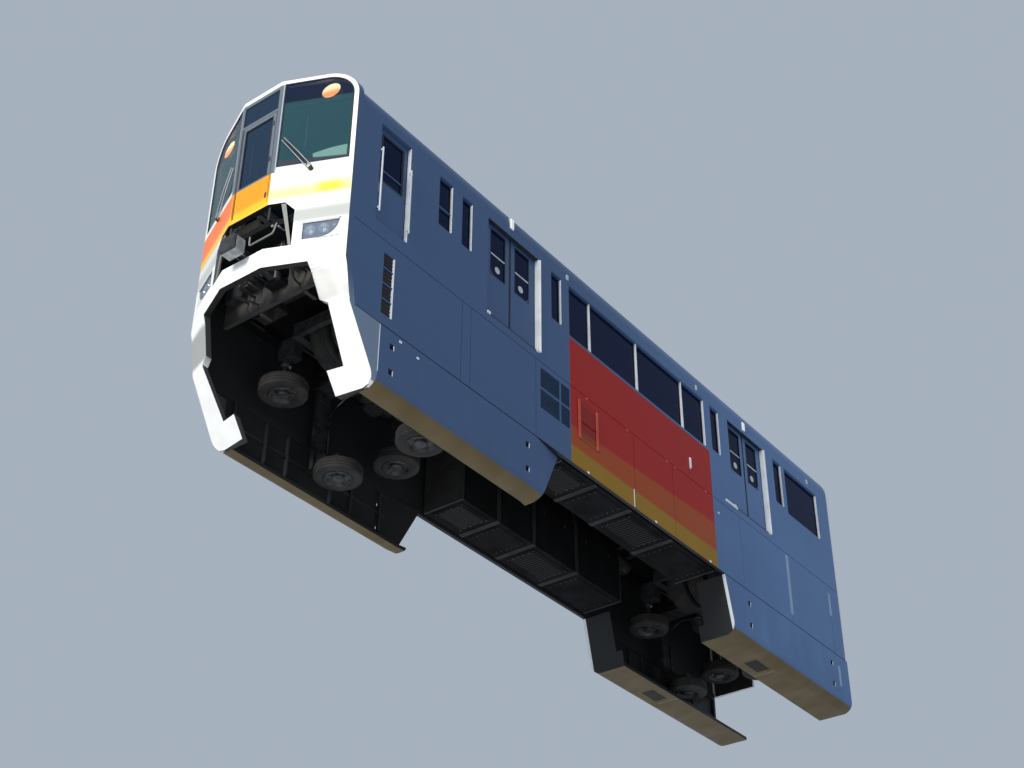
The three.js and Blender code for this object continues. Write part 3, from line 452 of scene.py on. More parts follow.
def band(axis, outer, inner, low, high):
    """A flat frame between two outlines of as many corners, pushed along an axis."""
    loops = [(outer, low), (outer, high), (inner, high), (inner, low)]
    return skin([[at(axis, place, u, v) for u, v in outline] for outline, place in loops], True)


def square(u0, u1, v0, v1):
    """A rectangle's outline."""
    return [(u0, v0), (u1, v0), (u1, v1), (u0, v1)]


def arc(u, v, reach_u, reach_v, steps=8, quarter=0):
    """Points on a quarter of an ellipse round its centre."""
    angles = [math.pi / 2 * (quarter + step / steps) for step in range(steps + 1)]
    return [(u + reach_u * math.cos(angle), v + reach_v * math.sin(angle)) for angle in angles]


def rounded(u0, u1, v0, v1, radius, steps=4, inset=0.0):
    """A rectangle's outline with round corners, or one that lies within it."""
    gap = radius + inset
    centres = [(u1 - gap, v1 - gap), (u0 + gap, v1 - gap), (u0 + gap, v0 + gap), (u1 - gap, v0 + gap)]
    return [point for quarter, (u, v) in enumerate(centres)
            for point in arc(u, v, radius, radius, steps, quarter)]


def axes_round(direction):
    """A direction of length one and two across it."""
    along = Vector(direction).normalized()
    helper = Vector(UP if abs(along.z) < 0.9 else FORE)
    across = along.cross(helper).normalized()
    return along, across, along.cross(across)


def circle(middle, across, third, radius, sides):
    """Points round a middle, in the plane of two directions."""
    angles = [math.tau * k / sides for k in range(sides)]
    return [middle + across * (radius * math.cos(a)) + third * (radius * math.sin(a)) for a in angles]


def turned(outline, centre, direction, sides=32, closed=False):
    """A body of revolution. Each point of the outline is a radius and a place along the axis. An end
    with no radius is a tip, and other ends are flat."""
    along, across, third = axes_round(direction)
    rings = [point for point in outline if point[0] > 0]
    loops = [circle(Vector(centre) + along * place, across, third, radius, sides)
             for radius, place in rings]
    corners, faces = skin(loops, closed_along=closed, capped=False)
    if closed:
        return corners, faces
    for start, end in ((0, outline[0]), (len(corners) - sides, outline[-1])):
        if end[0] == 0:
            faces += [(start + k, start + (k + 1) % sides, len(corners)) for k in range(sides)]
            corners.append(tuple(Vector(centre) + along * end[1]))
        else:
            faces.append(tuple(range(start, start + sides)))
    return corners, faces


def hoop(inner, outer, low, high, centre, direction, sides=32):
    return turned(square(inner, outer, low, high), centre, direction, sides, closed=True)


def rod(start, end, radius, sides=14):
    start, end = Vector(start), Vector(end)
    return turned([(radius, 0.0), (radius, (end - start).length)], start, end - start, sides)


def pipe(points, radius, bend=0.06):
    """A round pipe through points, with its corners bent on a small arc."""
    points = [Vector(point) for point in points]
    path = [points[0]]
    for before, corner, after in zip(points, points[1:], points[2:]):
        reach = min(bend, (corner - before).length / 2, (after - corner).length / 2)
        start = corner + (before - corner).normalized() * reach
        end = corner + (after - corner).normalized() * reach
        for step in range(5):
            share = step / 4
            path.append(start * (1 - share) ** 2 + corner * 2 * share * (1 - share) + end * share ** 2)
    path.append(points[-1])
    loops = []
    across = axes_round(path[1] - path[0])[1]
    for i, point in enumerate(path):
        along = (path[min(i + 1, len(path) - 1)] - path[max(i - 1, 0)]).normalized()
        across = (across - along * across.dot(along)).normalized()
        loops.append(circle(point, across, along.cross(across), radius, PIPE_SIDES))
    return skin(loops)


def bolts(centre, direction, ring, count, size=0.012, height=0.010):
    """Hexagon heads on a circle."""
    along, across, third = axes_round(direction)
    places = circle(Vector(centre), across, third, ring, count)
    return [rod(place, place + along * height, size, 6) for place in places]


def bolt_row(start, end, count, direction, size=0.009, height=0.007):
    """Hexagon heads along a line."""
    places = [Vector(start).lerp(Vector(end), k / (count - 1)) for k in range(count)]
    return [rod(place, place + Vector(direction) * height, size, 6) for place in places]


def mirror(part):
    corners, faces = part
    return [(x, -y, z) for x, y, z in corners], [face[::-1] for face in faces]


# Pieces
def soften(thing, width, sharp):
    """Rounds a mesh's edges and shades it smoothly between its sharp ones."""
    if width:
        bevel = thing.modifiers.new("edges", "BEVEL")
        bevel.width = width
        bevel.segments = 2
        bevel.limit_method = "ANGLE"
        bevel.angle_limit = math.radians(sharp)
    normals = thing.modifiers.new("normals", "WEIGHTED_NORMAL")
    normals.keep_sharp = not width


class Piece:
    """A piece of the car while it is made: corners, faces and each face's finish. Shapes are drawn
    for the left side, and a piece with the sign -1 has their mirror images."""

    def __init__(self, name, slot, body="car_body", sign=1):
        self.name = name
        self.slot = slot
        self.body = body
        self.sign = sign
        self.corners = []
        self.faces = []
        self.paints = []
        self.finishes = []

    def add(self, finish, *parts, sign=None):
        if finish not in self.finishes:
            self.finishes.append(finish)
        if (sign or self.sign) < 0:
            parts = [mirror(part) for part in parts]
        for corners, faces in parts:
            start = len(self.corners)
            self.corners += [tuple(corner) for corner in corners]
            self.faces += [tuple(start + i for i in face) for face in faces]
            self.paints += [self.finishes.index(finish)] * len(faces)

    def both(self, finish, *parts):
        for sign in SIDES.values():
            self.add(finish, *parts, sign=sign)

    def done(self, bevel=0.0, replaces=(), sharp=35):
        mesh = bpy.data.meshes.new(self.name)
        mesh.from_pydata(self.corners, [], self.faces)
        for finish in self.finishes:
            mesh.materials.append(finish)
        mesh.polygons.foreach_set("material_index", self.paints)
        work = bmesh.new()
        work.from_mesh(mesh)
        bmesh.ops.recalc_face_normals(work, faces=work.faces)
        work.to_mesh(mesh)
        work.free()
        mesh.polygons.foreach_set("use_smooth", [True] * len(mesh.polygons))
        mesh.set_sharp_from_angle(angle=math.radians(sharp))
        thing = bpy.data.objects.new(self.name, mesh)
        bpy.context.scene.collection.objects.link(thing)
        soften(thing, bevel, sharp)
        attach(thing, self.body)
        if replaces:
            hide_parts(*replaces)
        return thing


def dress(finish, *names, width=0.004):
    """Gives CAD nodes their finish and rounds their edges."""
    for name in names:
        node = nodes[name]
        for slot in node.material_slots:
            slot.material = finish
        weld = node.modifiers.new("weld", "WELD")
        weld.merge_threshold = 0.0011
        flat = node.modifiers.new("flat", "DECIMATE")
        flat.decimate_type = "DISSOLVE"
        flat.angle_limit = math.radians(0.5)
        soften(node, width, 25)


# Running gear
def tyre(inner, outer, bead, crown, grooves, depth, centre, direction, sides):
    """A tyre from its bead to its crown: the inner side, the grooved tread and the outer side."""
    width = outer - inner
    side = [(bead, 0.17), (bead + 0.018, 0.06), ((bead + crown) / 2, 0.0), (crown - 0.055, 0.015),
            (crown - 0.024, 0.045), (crown - 0.006, 0.10)]
    tread = []
    half = 0.008 / width
    for k in range(grooves):
        place = 0.14 + 0.72 * (k + 0.5) / grooves
        tread += [(crown, place - half * 1.4), (crown - depth, place - half),
                  (crown - depth, place + half), (crown, place + half * 1.4)]
    points = side + tread + [(radius, 1 - share) for radius, share in reversed(side)]
    outline = [(radius, inner + share * width) for radius, share in points]
    return turned(outline, centre, direction, sides, closed=True)


def wheelset(place, end):
    node = f"wheelset_{place}_{end}"
    low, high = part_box(node)
    centre = (Vector(low) + Vector(high)) / 2
    axle = (high[1] - low[1]) / 2
    radius = (high[2] - low[2]) / 2
    piece = Piece(f"tyres_{place}_{end}", "tyre", node)
    rim = [(0.24, 0.0), (0.24, 0.05), (0.288, 0.055), (0.288, 0.375), (0.298, 0.383), (0.292, 0.388),
           (0.27, 0.36), (0.255, 0.33), (0.16, 0.30), (0.13, 0.315), (0.13, 0.36), (0.105, 0.375),
           (0.105, axle)]
    for sign in SIDES.values():
        direction = (0, sign, 0)
        piece.add(TYRE, tyre(0.03, 0.39, 0.285, radius, 5, 0.011, centre, direction, 72))
        piece.add(WHEEL_RIM, turned(rim, centre, direction, 48))
        face = centre + Vector(direction) * 0.312
        piece.add(STEEL, *bolts(face, direction, 0.205, 10, 0.016, 0.016))
    piece.done(replaces=[node])


def side_wheel(node):
    """A guide or stabilising wheel, lying flat."""
    low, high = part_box(node)
    centre = (Vector(low) + Vector(high)) / 2
    centre.z = high[2] - 0.03
    radius = (high[0] - low[0]) / 2
    piece = Piece(node.replace("wheel_", "") + "_tyre", "tyre", node)
    piece.add(TYRE, tyre(0.006, 0.216, 0.205, radius, 3, 0.009, centre, DOWN, 56))
    rim = [(0.105, -0.03), (0.105, 0.0), (0.12, 0.02), (0.205, 0.012), (0.212, 0.02), (0.208, 0.20),
           (0.214, 0.210), (0.206, 0.217), (0.19, 0.19), (0.175, 0.165), (0.11, 0.15), (0.095, 0.165),
           (0.09, 0.205), (0.075, 0.218)]
    piece.add(WHEEL_RIM, turned(rim, centre, DOWN, 40))
    piece.add(STEEL, *bolts(centre + Vector((0, 0, -0.155)), DOWN, 0.142, 8, 0.011, 0.014))
    piece.done(replaces=[node])


def motor(x, length):
    """A finned motor lying along the car."""
    outline = [(0.11, 0.0), (0.12, 0.02), (0.15, 0.03)]
    fins = 16
    pitch = (length - 0.10) / fins
    for k in range(fins):
        place = 0.05 + pitch * k
        outline += [(0.16, place), (0.16, place + pitch * 0.45), (0.146, place + pitch * 0.5),
                    (0.146, place + pitch * 0.95)]
    outline += [(0.15, length - 0.03), (0.12, length - 0.02), (0.11, length)]
    return turned(outline, (x, 0.81, 0.53), FORE, 32)


def bogie(place):
    """Welded frame with its air springs, drives, and the arms of the side wheels."""
    x0 = BOGIES[place]
    piece = Piece(f"bogie_{place}", "dark_paint", f"bogie_{place}")
    end = 1.293
    beam = end + 0.09

    def near(half, y, z):
        """A box of a half length round the bogie's middle."""
        return box((x0 - half, x0 + half), y, z)

    piece.add(MACHINE, near(0.165, (-1.25, 1.25), (0.44, 0.69)),
              *(near(0.185, (-1.26, 1.26), z) for z in ((0.43, 0.446), (0.684, 0.70))))
    for y in (-1.0, -0.35, 0.35, 1.0):
        for a, b in ((0.16, 0.182), (-0.182, -0.16)):
            piece.add(MACHINE, box((x0 + a, x0 + b), (y - 0.006, y + 0.006), (0.44, 0.69)))
    post = [(0.14, 0.69), (0.14, 0.72), (0.125, 0.73), (0.125, 0.80), (0.14, 0.81), (0.14, 0.8597)]
    piece.add(STEEL, turned(post, (x0, 0, 0), UP, 36))
    for sign in SIDES.values():
        near_x, far_x = sorted((x0 + sign * end, x0 + sign * beam))
        piece.add(MACHINE, box((near_x + 0.01, far_x - 0.01), (-0.56, 0.56), (0.42, 0.62)))
        piece.add(MACHINE, *(box((near_x, far_x), (-0.57, 0.57), z)
                             for z in ((0.418, 0.432), (0.608, 0.622))))
        face = x0 + sign * (end + 0.08)
        piece.add(STEEL, *bolt_row((face, -0.4, 0.52), (face, 0.4, 0.52), 6, (sign, 0, 0), 0.014, 0.009))
    piece.both(MACHINE, near(beam, (0.452, 0.558), (0.41, 0.63)),
               *(near(beam, (0.441, 0.57), z) for z in ((0.40, 0.416), (0.624, 0.64))))
    spring = [(0.20, 0.70), (0.20, 0.712), (0.215, 0.715), (0.236, 0.735), (0.236, 0.755), (0.21, 0.772),
              (0.20, 0.777), (0.21, 0.782), (0.236, 0.80), (0.236, 0.82), (0.215, 0.838), (0.205, 0.842)]
    piece.both(RUBBER, turned(spring, (x0, SPRING_Y, 0), UP, 40))
    piece.both(STEEL, rod((x0, SPRING_Y, 0.842), (x0, SPRING_Y, 0.855), 0.19, 40))
    # Hangers and feet of the stabilising wheels
    piece.both(MACHINE, near(0.142, (1.20, 1.25), (-0.97, 0.50)), near(0.10, (0.73, 1.25), (-0.97, -0.89)),
               *(box((x0 + a, x0 + a + 0.016), (1.19, 1.26), (-0.98, 0.50)) for a in (-0.15, 0.134)),
               *(near(0.11, (0.72, 1.26), z) for z in ((-0.98, -0.966), (-0.894, -0.88))),
               *(slab("x", [(1.20, -0.60), (1.20, -0.88), (0.92, -0.88)], x0 + a, x0 + a + 0.012)
                 for a in (-0.07, 0.058)))
    piece.both(STEEL, rod((x0, SIDE_WHEEL_Y, -1.0097), (x0, SIDE_WHEEL_Y, -0.97), 0.055, 20),
               *bolts((x0, SIDE_WHEEL_Y, -0.88), UP, 0.06, 6, 0.011, 0.012))
    for z in (-0.7, -0.2, 0.25):
        for y, way in ((1.25, 1), (1.20, -1)):
            piece.both(STEEL, *bolt_row((x0 - 0.09, y, z), (x0 + 0.09, y, z), 3, (0, way, 0), 0.012, 0.009))
    # Arms of the guide wheels
    arm = [(0.565, 0.135), (0.84, 0.135), (0.87, 0.165), (0.87, 0.33), (0.80, 0.46), (0.565, 0.46)]
    flange = [(0.56, 0.12), (0.85, 0.12), (0.88, 0.155), (0.88, 0.34), (0.81, 0.48), (0.56, 0.48)]
    stub = [(0.055, -0.2097), (0.055, 0.02), (0.085, 0.04), (0.085, 0.12)]
    for x in (x0 + GUIDE_REACH, x0 - GUIDE_REACH):
        piece.both(MACHINE, slab("x", arm, x - 0.075, x + 0.075),
                   *(slab("x", flange, x + a, x + a + 0.014) for a in (-0.09, 0.076)))
        piece.both(STEEL, turned(stub, (x, SIDE_WHEEL_Y, 0), UP, 24),
                   *bolts((x, SIDE_WHEEL_Y, 0.46), UP, 0.05, 6, 0.010, 0.008))
    # Axle boxes, gear cases and motors
    for x, sign in ((x0 + AXLE_REACH, 1), (x0 - AXLE_REACH, -1)):
        piece.both(MACHINE, box((x - 0.14, x + 0.14), (0.50, 0.60), (0.36, 0.66)))
        piece.both(STEEL, turned([(0.10, 0.0), (0.10, 0.03), (0.08, 0.045)], (x, 0.60, AXLE_Z), LEFT, 28),
                   *bolts((x, 0.63, AXLE_Z), LEFT, 0.075, 8, 0.009, 0.01))
        gearbox = rounded(x - 0.16, x + 0.16, 0.34, 0.66, 0.08)
        start = x - 0.36 if sign > 0 else x - 0.34
        piece.add(MACHINE, slab("y", gearbox, 0.655, 0.96), motor(start, 0.70), sign=sign)
        piece.add(DARK, box((start + 0.2, start + 0.42), (0.73, 0.89), (0.66, 0.715)), sign=sign)
    line = [(-1.2, 0.60, 0.39), (-0.3, 0.60, 0.39), (-0.24, 0.98, 0.39), (-0.24, 1.17, 0.30),
            (-0.12, 1.17, 0.10), (-0.12, 1.17, -0.80)]
    hose = [(1.2, 0.605, 0.37), (0.3, 0.605, 0.37), (0.24, 1.02, 0.41), (0.22, 1.15, 0.55),
            (0.22, 1.17, 0.74)]
    for finish, places, radius in ((STEEL, line, 0.011), (RUBBER, hose, 0.016)):
        piece.both(finish, pipe([(x0 + a, y, z) for a, y, z in places], radius))
    piece.done(0.003, replaces=[f"bogie_frame_{place}"])


# Underside
def equipment(side, sign):
    """Equipment cases hung between the bogies, with lids, louvres, catches and cables."""
    piece = Piece(f"equipment_cases_{side}", "dark_paint", sign=sign)
    outer = INNER - 0.06
    shell = [(0.57, -0.42), (outer, -0.42), (outer, 0.80), (0.645, 0.80), (0.57, 0.50)]
    rim = [(0.56, -0.43), (outer, -0.43), (outer, 0.79), (0.64, 0.79), (0.56, 0.50)]
    for x0, x1, slats in ((-2.45, -1.10, 0), (-1.08, 0.13, 14), (0.15, 1.10, 0), (1.12, 2.05, 14)):
        # Shells and lids in the near-black case paint, which is partly painted shade.
        piece.add(CASE_PAINT_AND_SHADE, slab("x", shell, x0 + 0.006, x1 - 0.006))
        piece.add(UNDER, *(slab("x", rim, a, a + 0.03) for a in (x0, x1 - 0.03)))
        middle = (x0 + x1) / 2
        half = (x1 - x0) / 2 - 0.10
        lid = (middle - half, middle + half)
        piece.add(CASE_PAINT_AND_SHADE, slab("z", rounded(*lid, 0.66, outer - 0.09, 0.03), -0.43, -0.415),
                  slab("y", rounded(*lid, -0.33, 0.42, 0.03), 0.562, 0.572))
        # The lids' louvre slots as dark strips: painted shade.
        for k in range(slats):
            x = middle - half + 0.08 + (2 * half - 0.16) * k / (slats - 1)
            piece.add(DARK_AND_SHADE, box((x - 0.012, x + 0.012), (0.74, outer - 0.17), (-0.4335, -0.425)))
        for x in (middle - half + 0.05, middle + half - 0.05):
            piece.add(STEEL, *bolt_row((x, 0.70, -0.43), (x, outer - 0.13, -0.43), 6, DOWN, 0.009, 0.003))
        for x in (middle - half * 0.6, middle + half * 0.6):
            piece.add(STEEL, box((x, x + 0.05), (0.5605, 0.57), (0.30, 0.36)))
        for y in (0.8, 0.88, 0.96):
            piece.add(RUBBER, rod((x1 - 0.002, y, 0.2), (x1 + 0.018, y, 0.2), 0.02))
    piece.add(DARK, *(box((-2.45, 2.05), y, (0.79, 1.0297)) for y in ((0.70, 0.76), (1.18, 1.24))))
    piece.done(0.004, replaces=[f"equipment_{side}"])


def skirt_ribs(side, sign):
    """Stiffeners inside the skirts."""
    piece = Piece(f"skirt_ribs_{side}", "dark_paint", sign=sign)
    rib = [(INNER - inset, z) for inset, z in (
        (0, -0.53), (0.05, -0.53), (0.05, -1.20), (0.10, -1.36), (0.16, -1.40), (0.13, -1.36),
        (0.03, -1.26), (0, -1.22))]
    for x in (-6.9, -6.1, -5.55, -4.35, -3.9, -3.15, 3.1, 3.75, 4.2, 5.15, 5.6, 6.25):
        piece.add(UNDER, slab("x", rib, x - 0.004, x + 0.004),
                  box((x - 0.03, x), (INNER - 0.055, INNER - 0.05), (-1.2, -0.53)))
    for x in ((-6.95, -2.9), (2.95, 6.36)):
        piece.add(UNDER, box(x, (INNER - 0.03, INNER - 0.001), (-0.90, -0.86)))
    piece.done(0.002)


def underfloor():
    """Pipes, air tanks, boxes and ribs under the floor."""
    piece = Piece("underfloor_fittings", "dark_paint")
    low = FLOOR - 0.10
    for x in (-6.25, -3.3, -2.9, 2.35, 2.75, 3.1, 6.25, 6.75):
        piece.add(UNDER, box((x - 0.03, x + 0.03), (-1.245, 1.245), (low - 0.09, low - 0.001)),
                  box((x - 0.05, x + 0.05), (-1.245, 1.245), (low - 0.10, low - 0.088)))
    for x0, x1 in ((-3.30, -2.52), (2.12, 2.92)):
        end = [(0.0, 0.0), (0.08, 0.006), (0.135, 0.035), (0.155, 0.08)]
        tank = end + [(radius, x1 - x0 - place) for radius, place in reversed(end)]
        piece.both(UNDER, turned(tank, (x0, 0.98, 0.72), FORE))
        for x in (x0 + 0.18, x1 - 0.18):
            piece.both(STEEL, hoop(0.156, 0.162, -0.02, 0.02, (x, 0.98, 0.72), FORE))
            piece.both(UNDER, box((x - 0.03, x + 0.03), (0.93, 1.03), (0.86, low)))
    piece.both(RUBBER, pipe([(6.35, 1.18, 0.80), (6.05, 1.18, 0.80)], 0.02))
    for x in (-6.62, 6.12):
        piece.both(DARK, box((x, x + 0.22), (0.62, 1.10), (low - 0.22, low - 0.10)))
        piece.both(STEEL, *bolt_row((x + 0.03, 0.68, low - 0.22), (x + 0.03, 1.04, low - 0.22), 4, DOWN))
    piece.done(0.003)


# Nose
def headlamp(side, sign):
    """Lamp housing with two reflectors behind a cover, its lower outer corner rounded."""
    piece = Piece(f"headlamp_unit_{side}", "lamp", sign=sign)
    inner, outer, bottom, top = 0.8703, 1.3897, 0.6003, 0.9297
    front = (-0.012, -0.0003)
    tub = square(inner, outer, bottom, top)
    well = square(inner + 0.006, outer - 0.006, bottom + 0.006, top - 0.006)
    piece.add(DARK_AND_SHADE, band("facet", tub, well, -0.074, -0.009))
    piece.add(UNDER, slab("facet", tub, -0.078, -0.068))
    curve = arc(outer - 0.26, top - 0.02, 0.245, -0.29)
    corner = [(outer, bottom), (outer, top - 0.02), *curve, (outer - 0.34, bottom)]
    piece.add(WHITE, slab("facet", corner, *front),
              slab("facet", square(inner, outer, bottom, bottom + 0.016), *front))
    rim = [(inner, top - 0.028), (outer - 0.02, top - 0.028), (outer - 0.02, top), (inner, top)]
    piece.add(ALUMINIUM, slab("facet", rim, *front),
              slab("facet", square(inner, inner + 0.022, bottom + 0.016, top - 0.028), *front))
    bowl = [(0.0, 0.0), (0.03, 0.002), (0.06, 0.018), (0.078, 0.045), (0.084, 0.05), (0.084, 0.044),
            (0.066, 0.012), (0.0, -0.004)]
    bulb = [(0.02, 0.0), (0.022, 0.02), (0.012, 0.032), (0.0, 0.034)]
    for y, z in ((0.985, 0.775), (1.165, 0.785)):
        piece.add(CHROME, turned(bowl, facet(y, z, LAMP_BED), FACET_NORMAL))
        piece.add(LAMP_WHITE, turned(bulb, facet(y, z, LAMP_BED), FACET_NORMAL, 20))
    piece.add(LAMP_RED, turned([(0.03, 0.0), (0.03, 0.03), (0.0, 0.042)], facet(1.30, 0.85, LAMP_BED),
                               FACET_NORMAL, 20))
    piece.add(CLEAR_GLASS, slab("facet", tub, -0.018, -0.0135))
    piece.done(replaces=[f"headlamp_{side}"])


def screen_outline(inset):
    """The windscreen's outline in Y and Z: square but for its upper outer corner."""
    edge = 0.062 + inset
    radius = 0.45 - edge
    inner, foot = 0.435 + inset, 1.98 + inset
    curve = arc(1.04, 3.285, radius, radius)
    return [(inner, foot), (HALF_WIDTH - edge, foot), *curve, (inner, 3.285 + radius)]


def nose_trim():
    """Seals, sills and header edges of the windscreens, the marker lamps and the shelf behind the
    glass, the wipers, and the wedges that close the step between the facets and the legs."""
    seals = Piece("screen_seals", "rubber")
    seals.both(RUBBER, band("facet", screen_outline(0.0005), screen_outline(0.016), -0.03, -0.004))
    ring = rounded(-0.3555, 0.3555, 3.2155, 3.5995, 0.004, 2)
    hole = rounded(-0.343, 0.343, 3.228, 3.587, 0.004, 2)
    seals.add(RUBBER, band("x", ring, hole, NOSE - 0.03, NOSE - 0.006))
    seals.done(0.0015)
    sill = Piece("screen_sills", "white_paint")
    foot = [(0.4365, 1.9815), (1.4270, 1.9815), (1.4270, 2.024), (0.4365, 2.028)]
    sill.both(WHITE, slab("facet", foot, -0.013, -0.001))
    sill.done(0.001)
    fillet = Piece("leg_fillets", "white_paint")
    corners = [(7.1499, 1.4899, 0.2199), (7.3733, 0.9986, 0.2199), (7.1118, 1.4899, 0.10),
               (7.2675, 1.1481, 0.10), (7.3100, 1.0157, 0.10), (7.1334, 1.4899, 0.2199),
               (7.3312, 1.0549, 0.2199), (7.3495, 0.9986, 0.2199)]
    faces = [(0, 2, 3), (0, 3, 1), (1, 3, 4), (0, 1, 7, 6, 5), (0, 5, 2), (1, 4, 7), (5, 6, 3, 2),
             (6, 7, 4, 3)]
    fillet.both(NOSE_WHITE, (corners, faces))
    fillet.done()
    edge = Piece("header_edges", "dark_paint")
    edge.both(DARK, slab("facet", square(0.43, 1.40, 3.28, 3.2995), -0.14, -0.093))
    edge.both(ALUMINIUM, rod((7.235, 0.566, 2.66), (7.235, 0.566, 3.2995), 0.018),
              rod((7.235, 0.566, 3.20), (7.235, 0.566, 3.25), 0.026, 20))
    edge.done(0.001)
    lamp = Piece("marker_lamps", "lamp")
    tilt = Vector((0.95, 0.26, 0.09)).normalized()
    seat = facet(1.077, 3.45, LAMP_BED)
    lamp.both(LAMP_WARM, turned([(0.152, 0.0), (0.150, 0.006), (0.12, 0.014), (0.0, 0.02)], seat, tilt, 40))
    rim = [(0.150, -0.01), (0.166, -0.01), (0.166, 0.008), (0.156, 0.012), (0.150, 0.008)]
    lamp.both(HOOD, turned(rim, seat, tilt, 40, closed=True))
    lamp.done()
    shelf = Piece("screen_shelf", "interior_trim")
    shelf.both(DESK, slab("facet", square(0.46, 1.40, 2.00, 2.03), -0.12, -0.05))
    patch = [(0.90, 2.20), (1.14, 2.145), (1.36, 2.13), (1.36, 2.345), (1.13, 2.32), (0.90, 2.26)]
    shelf.both(SUNLIT, slab("facet", patch, -0.09, -0.07))
    shelf.done(0.002)
    wipers = Piece("wipers", "dark_paint")
    pivot, tip = facet(0.92, 1.90), facet(0.50, 2.54)
    step = FACET_NORMAL
    lift = Vector((0, 0.026, 0.017))
    wipers.both(DARK, turned([(0.036, 0.0), (0.034, 0.03), (0.02, 0.045)], pivot, step, 20))
    for shift in (lift, -lift):
        arm = [pivot + step * 0.035 + shift, pivot.lerp(tip, 0.5) + step * 0.04 + shift,
               tip + step * 0.025 + shift * 0.8]
        wipers.both(ALUMINIUM, pipe(arm, 0.010))
    wipers.both(RUBBER, pipe([pivot.lerp(tip, 0.12) + step * 0.02, tip + step * 0.02], 0.008))
    wipers.both(DARK, pipe([pivot + step * 0.04 + lift, pivot + step * 0.04 - lift], 0.012))
    wipers.done()


def pocket_fittings():
    """Machinery in the coupler pocket: boxes, valves, pipes and the two slanting grey struts."""
    piece = Piece("pocket_fittings", "dark_paint")
    strut = [(0.563, 1.338), (0.626, 1.338), (0.752, 0.547), (0.718, 0.547)]
    piece.both(STRUT_GREY, slab("facet", strut, -0.034, -0.020),
               pipe([(7.50, 0.53, 0.96), (7.40, 0.53, 0.96), (7.40, 0.53, 1.025)], 0.009))
    piece.add(STRUT_GREY, pipe([(7.545, -0.02, 1.025), (7.545, -0.02, 0.867), (7.545, 0.44, 0.875),
                                (7.545, 0.497, 1.025)], 0.014, bend=0.04))
    piece.both(CAST_METAL, rod((7.545, 0.40, 1.012), (7.545, 0.44, 1.012), 0.016, 12),
               rod((7.50, 0.53, 0.96), (7.54, 0.53, 0.96), 0.014, 12))
    piece.add(PALE_TRIM, rod((7.61, 0.26, 0.5453), (7.61, 0.26, 0.575), 0.022, 16))
    piece.add(DARK, box((6.84, 6.90), (-1.10, 1.10), (0.30, 1.02)))
    piece.add(DARK_AND_SHADE, box((7.08, 7.22), (-0.64, 0.64), (0.93, 1.026)))
    for finish, *edges in ((MACHINE, (7.59, 7.604), (0.36, 0.40), (1.10, 1.339)),
                           (MACHINE, (6.90, 7.06), (0.34, 0.60), (0.70, 0.96)),
                           (MACHINE, (6.90, 7.02), (0.66, 1.0), (0.62, 0.90)),
                           (DARK, (6.60, 6.86), (0.40, 0.46), (0.30, 1.02)),
                           (DARK, (7.12, 7.24), (0.22, 0.34), (0.83, 0.96))):
        piece.both(finish, box(*edges))
    valve = [(0.07, 0.0), (0.075, 0.02), (0.075, 0.20), (0.06, 0.23), (0.0, 0.235)]
    piece.both(MACHINE, turned(valve, (7.10, 0.42, 0.70), UP, 28))
    for y, z, r in ((0.25, 0.80, 0.018), (0.30, 0.76, 0.012), (0.36, 0.62, 0.012), (0.56, 0.66, 0.014)):
        bent = y + 0.06
        piece.both(STEEL, pipe([(6.88, y, z), (7.16, y, z), (7.24, bent, z + 0.05), (7.24, bent, 1.02)], r))
    piece.both(RUBBER, pipe([(6.9, 0.50, 0.58), (7.10, 0.50, 0.56), (7.26, 0.46, 0.50),
                             (7.30, 0.30, 0.46), (7.30, 0.22, 0.62)], 0.02, bend=0.1),
               pipe([(6.9, 0.62, 0.52), (7.12, 0.62, 0.50), (7.24, 0.56, 0.42), (7.05, 0.42, 0.38),
                     (6.9, 0.40, 0.40)], 0.016, bend=0.1))
    piece.both(BRASS, *(rod((7.06, y, 0.84), (7.10, y, 0.84), 0.02, 12) for y in (0.54, 0.59)))
    piece.both(STEEL, *bolt_row((7.062, 0.37, 0.73), (7.062, 0.57, 0.73), 4, FORE))
    piece.done(0.003)


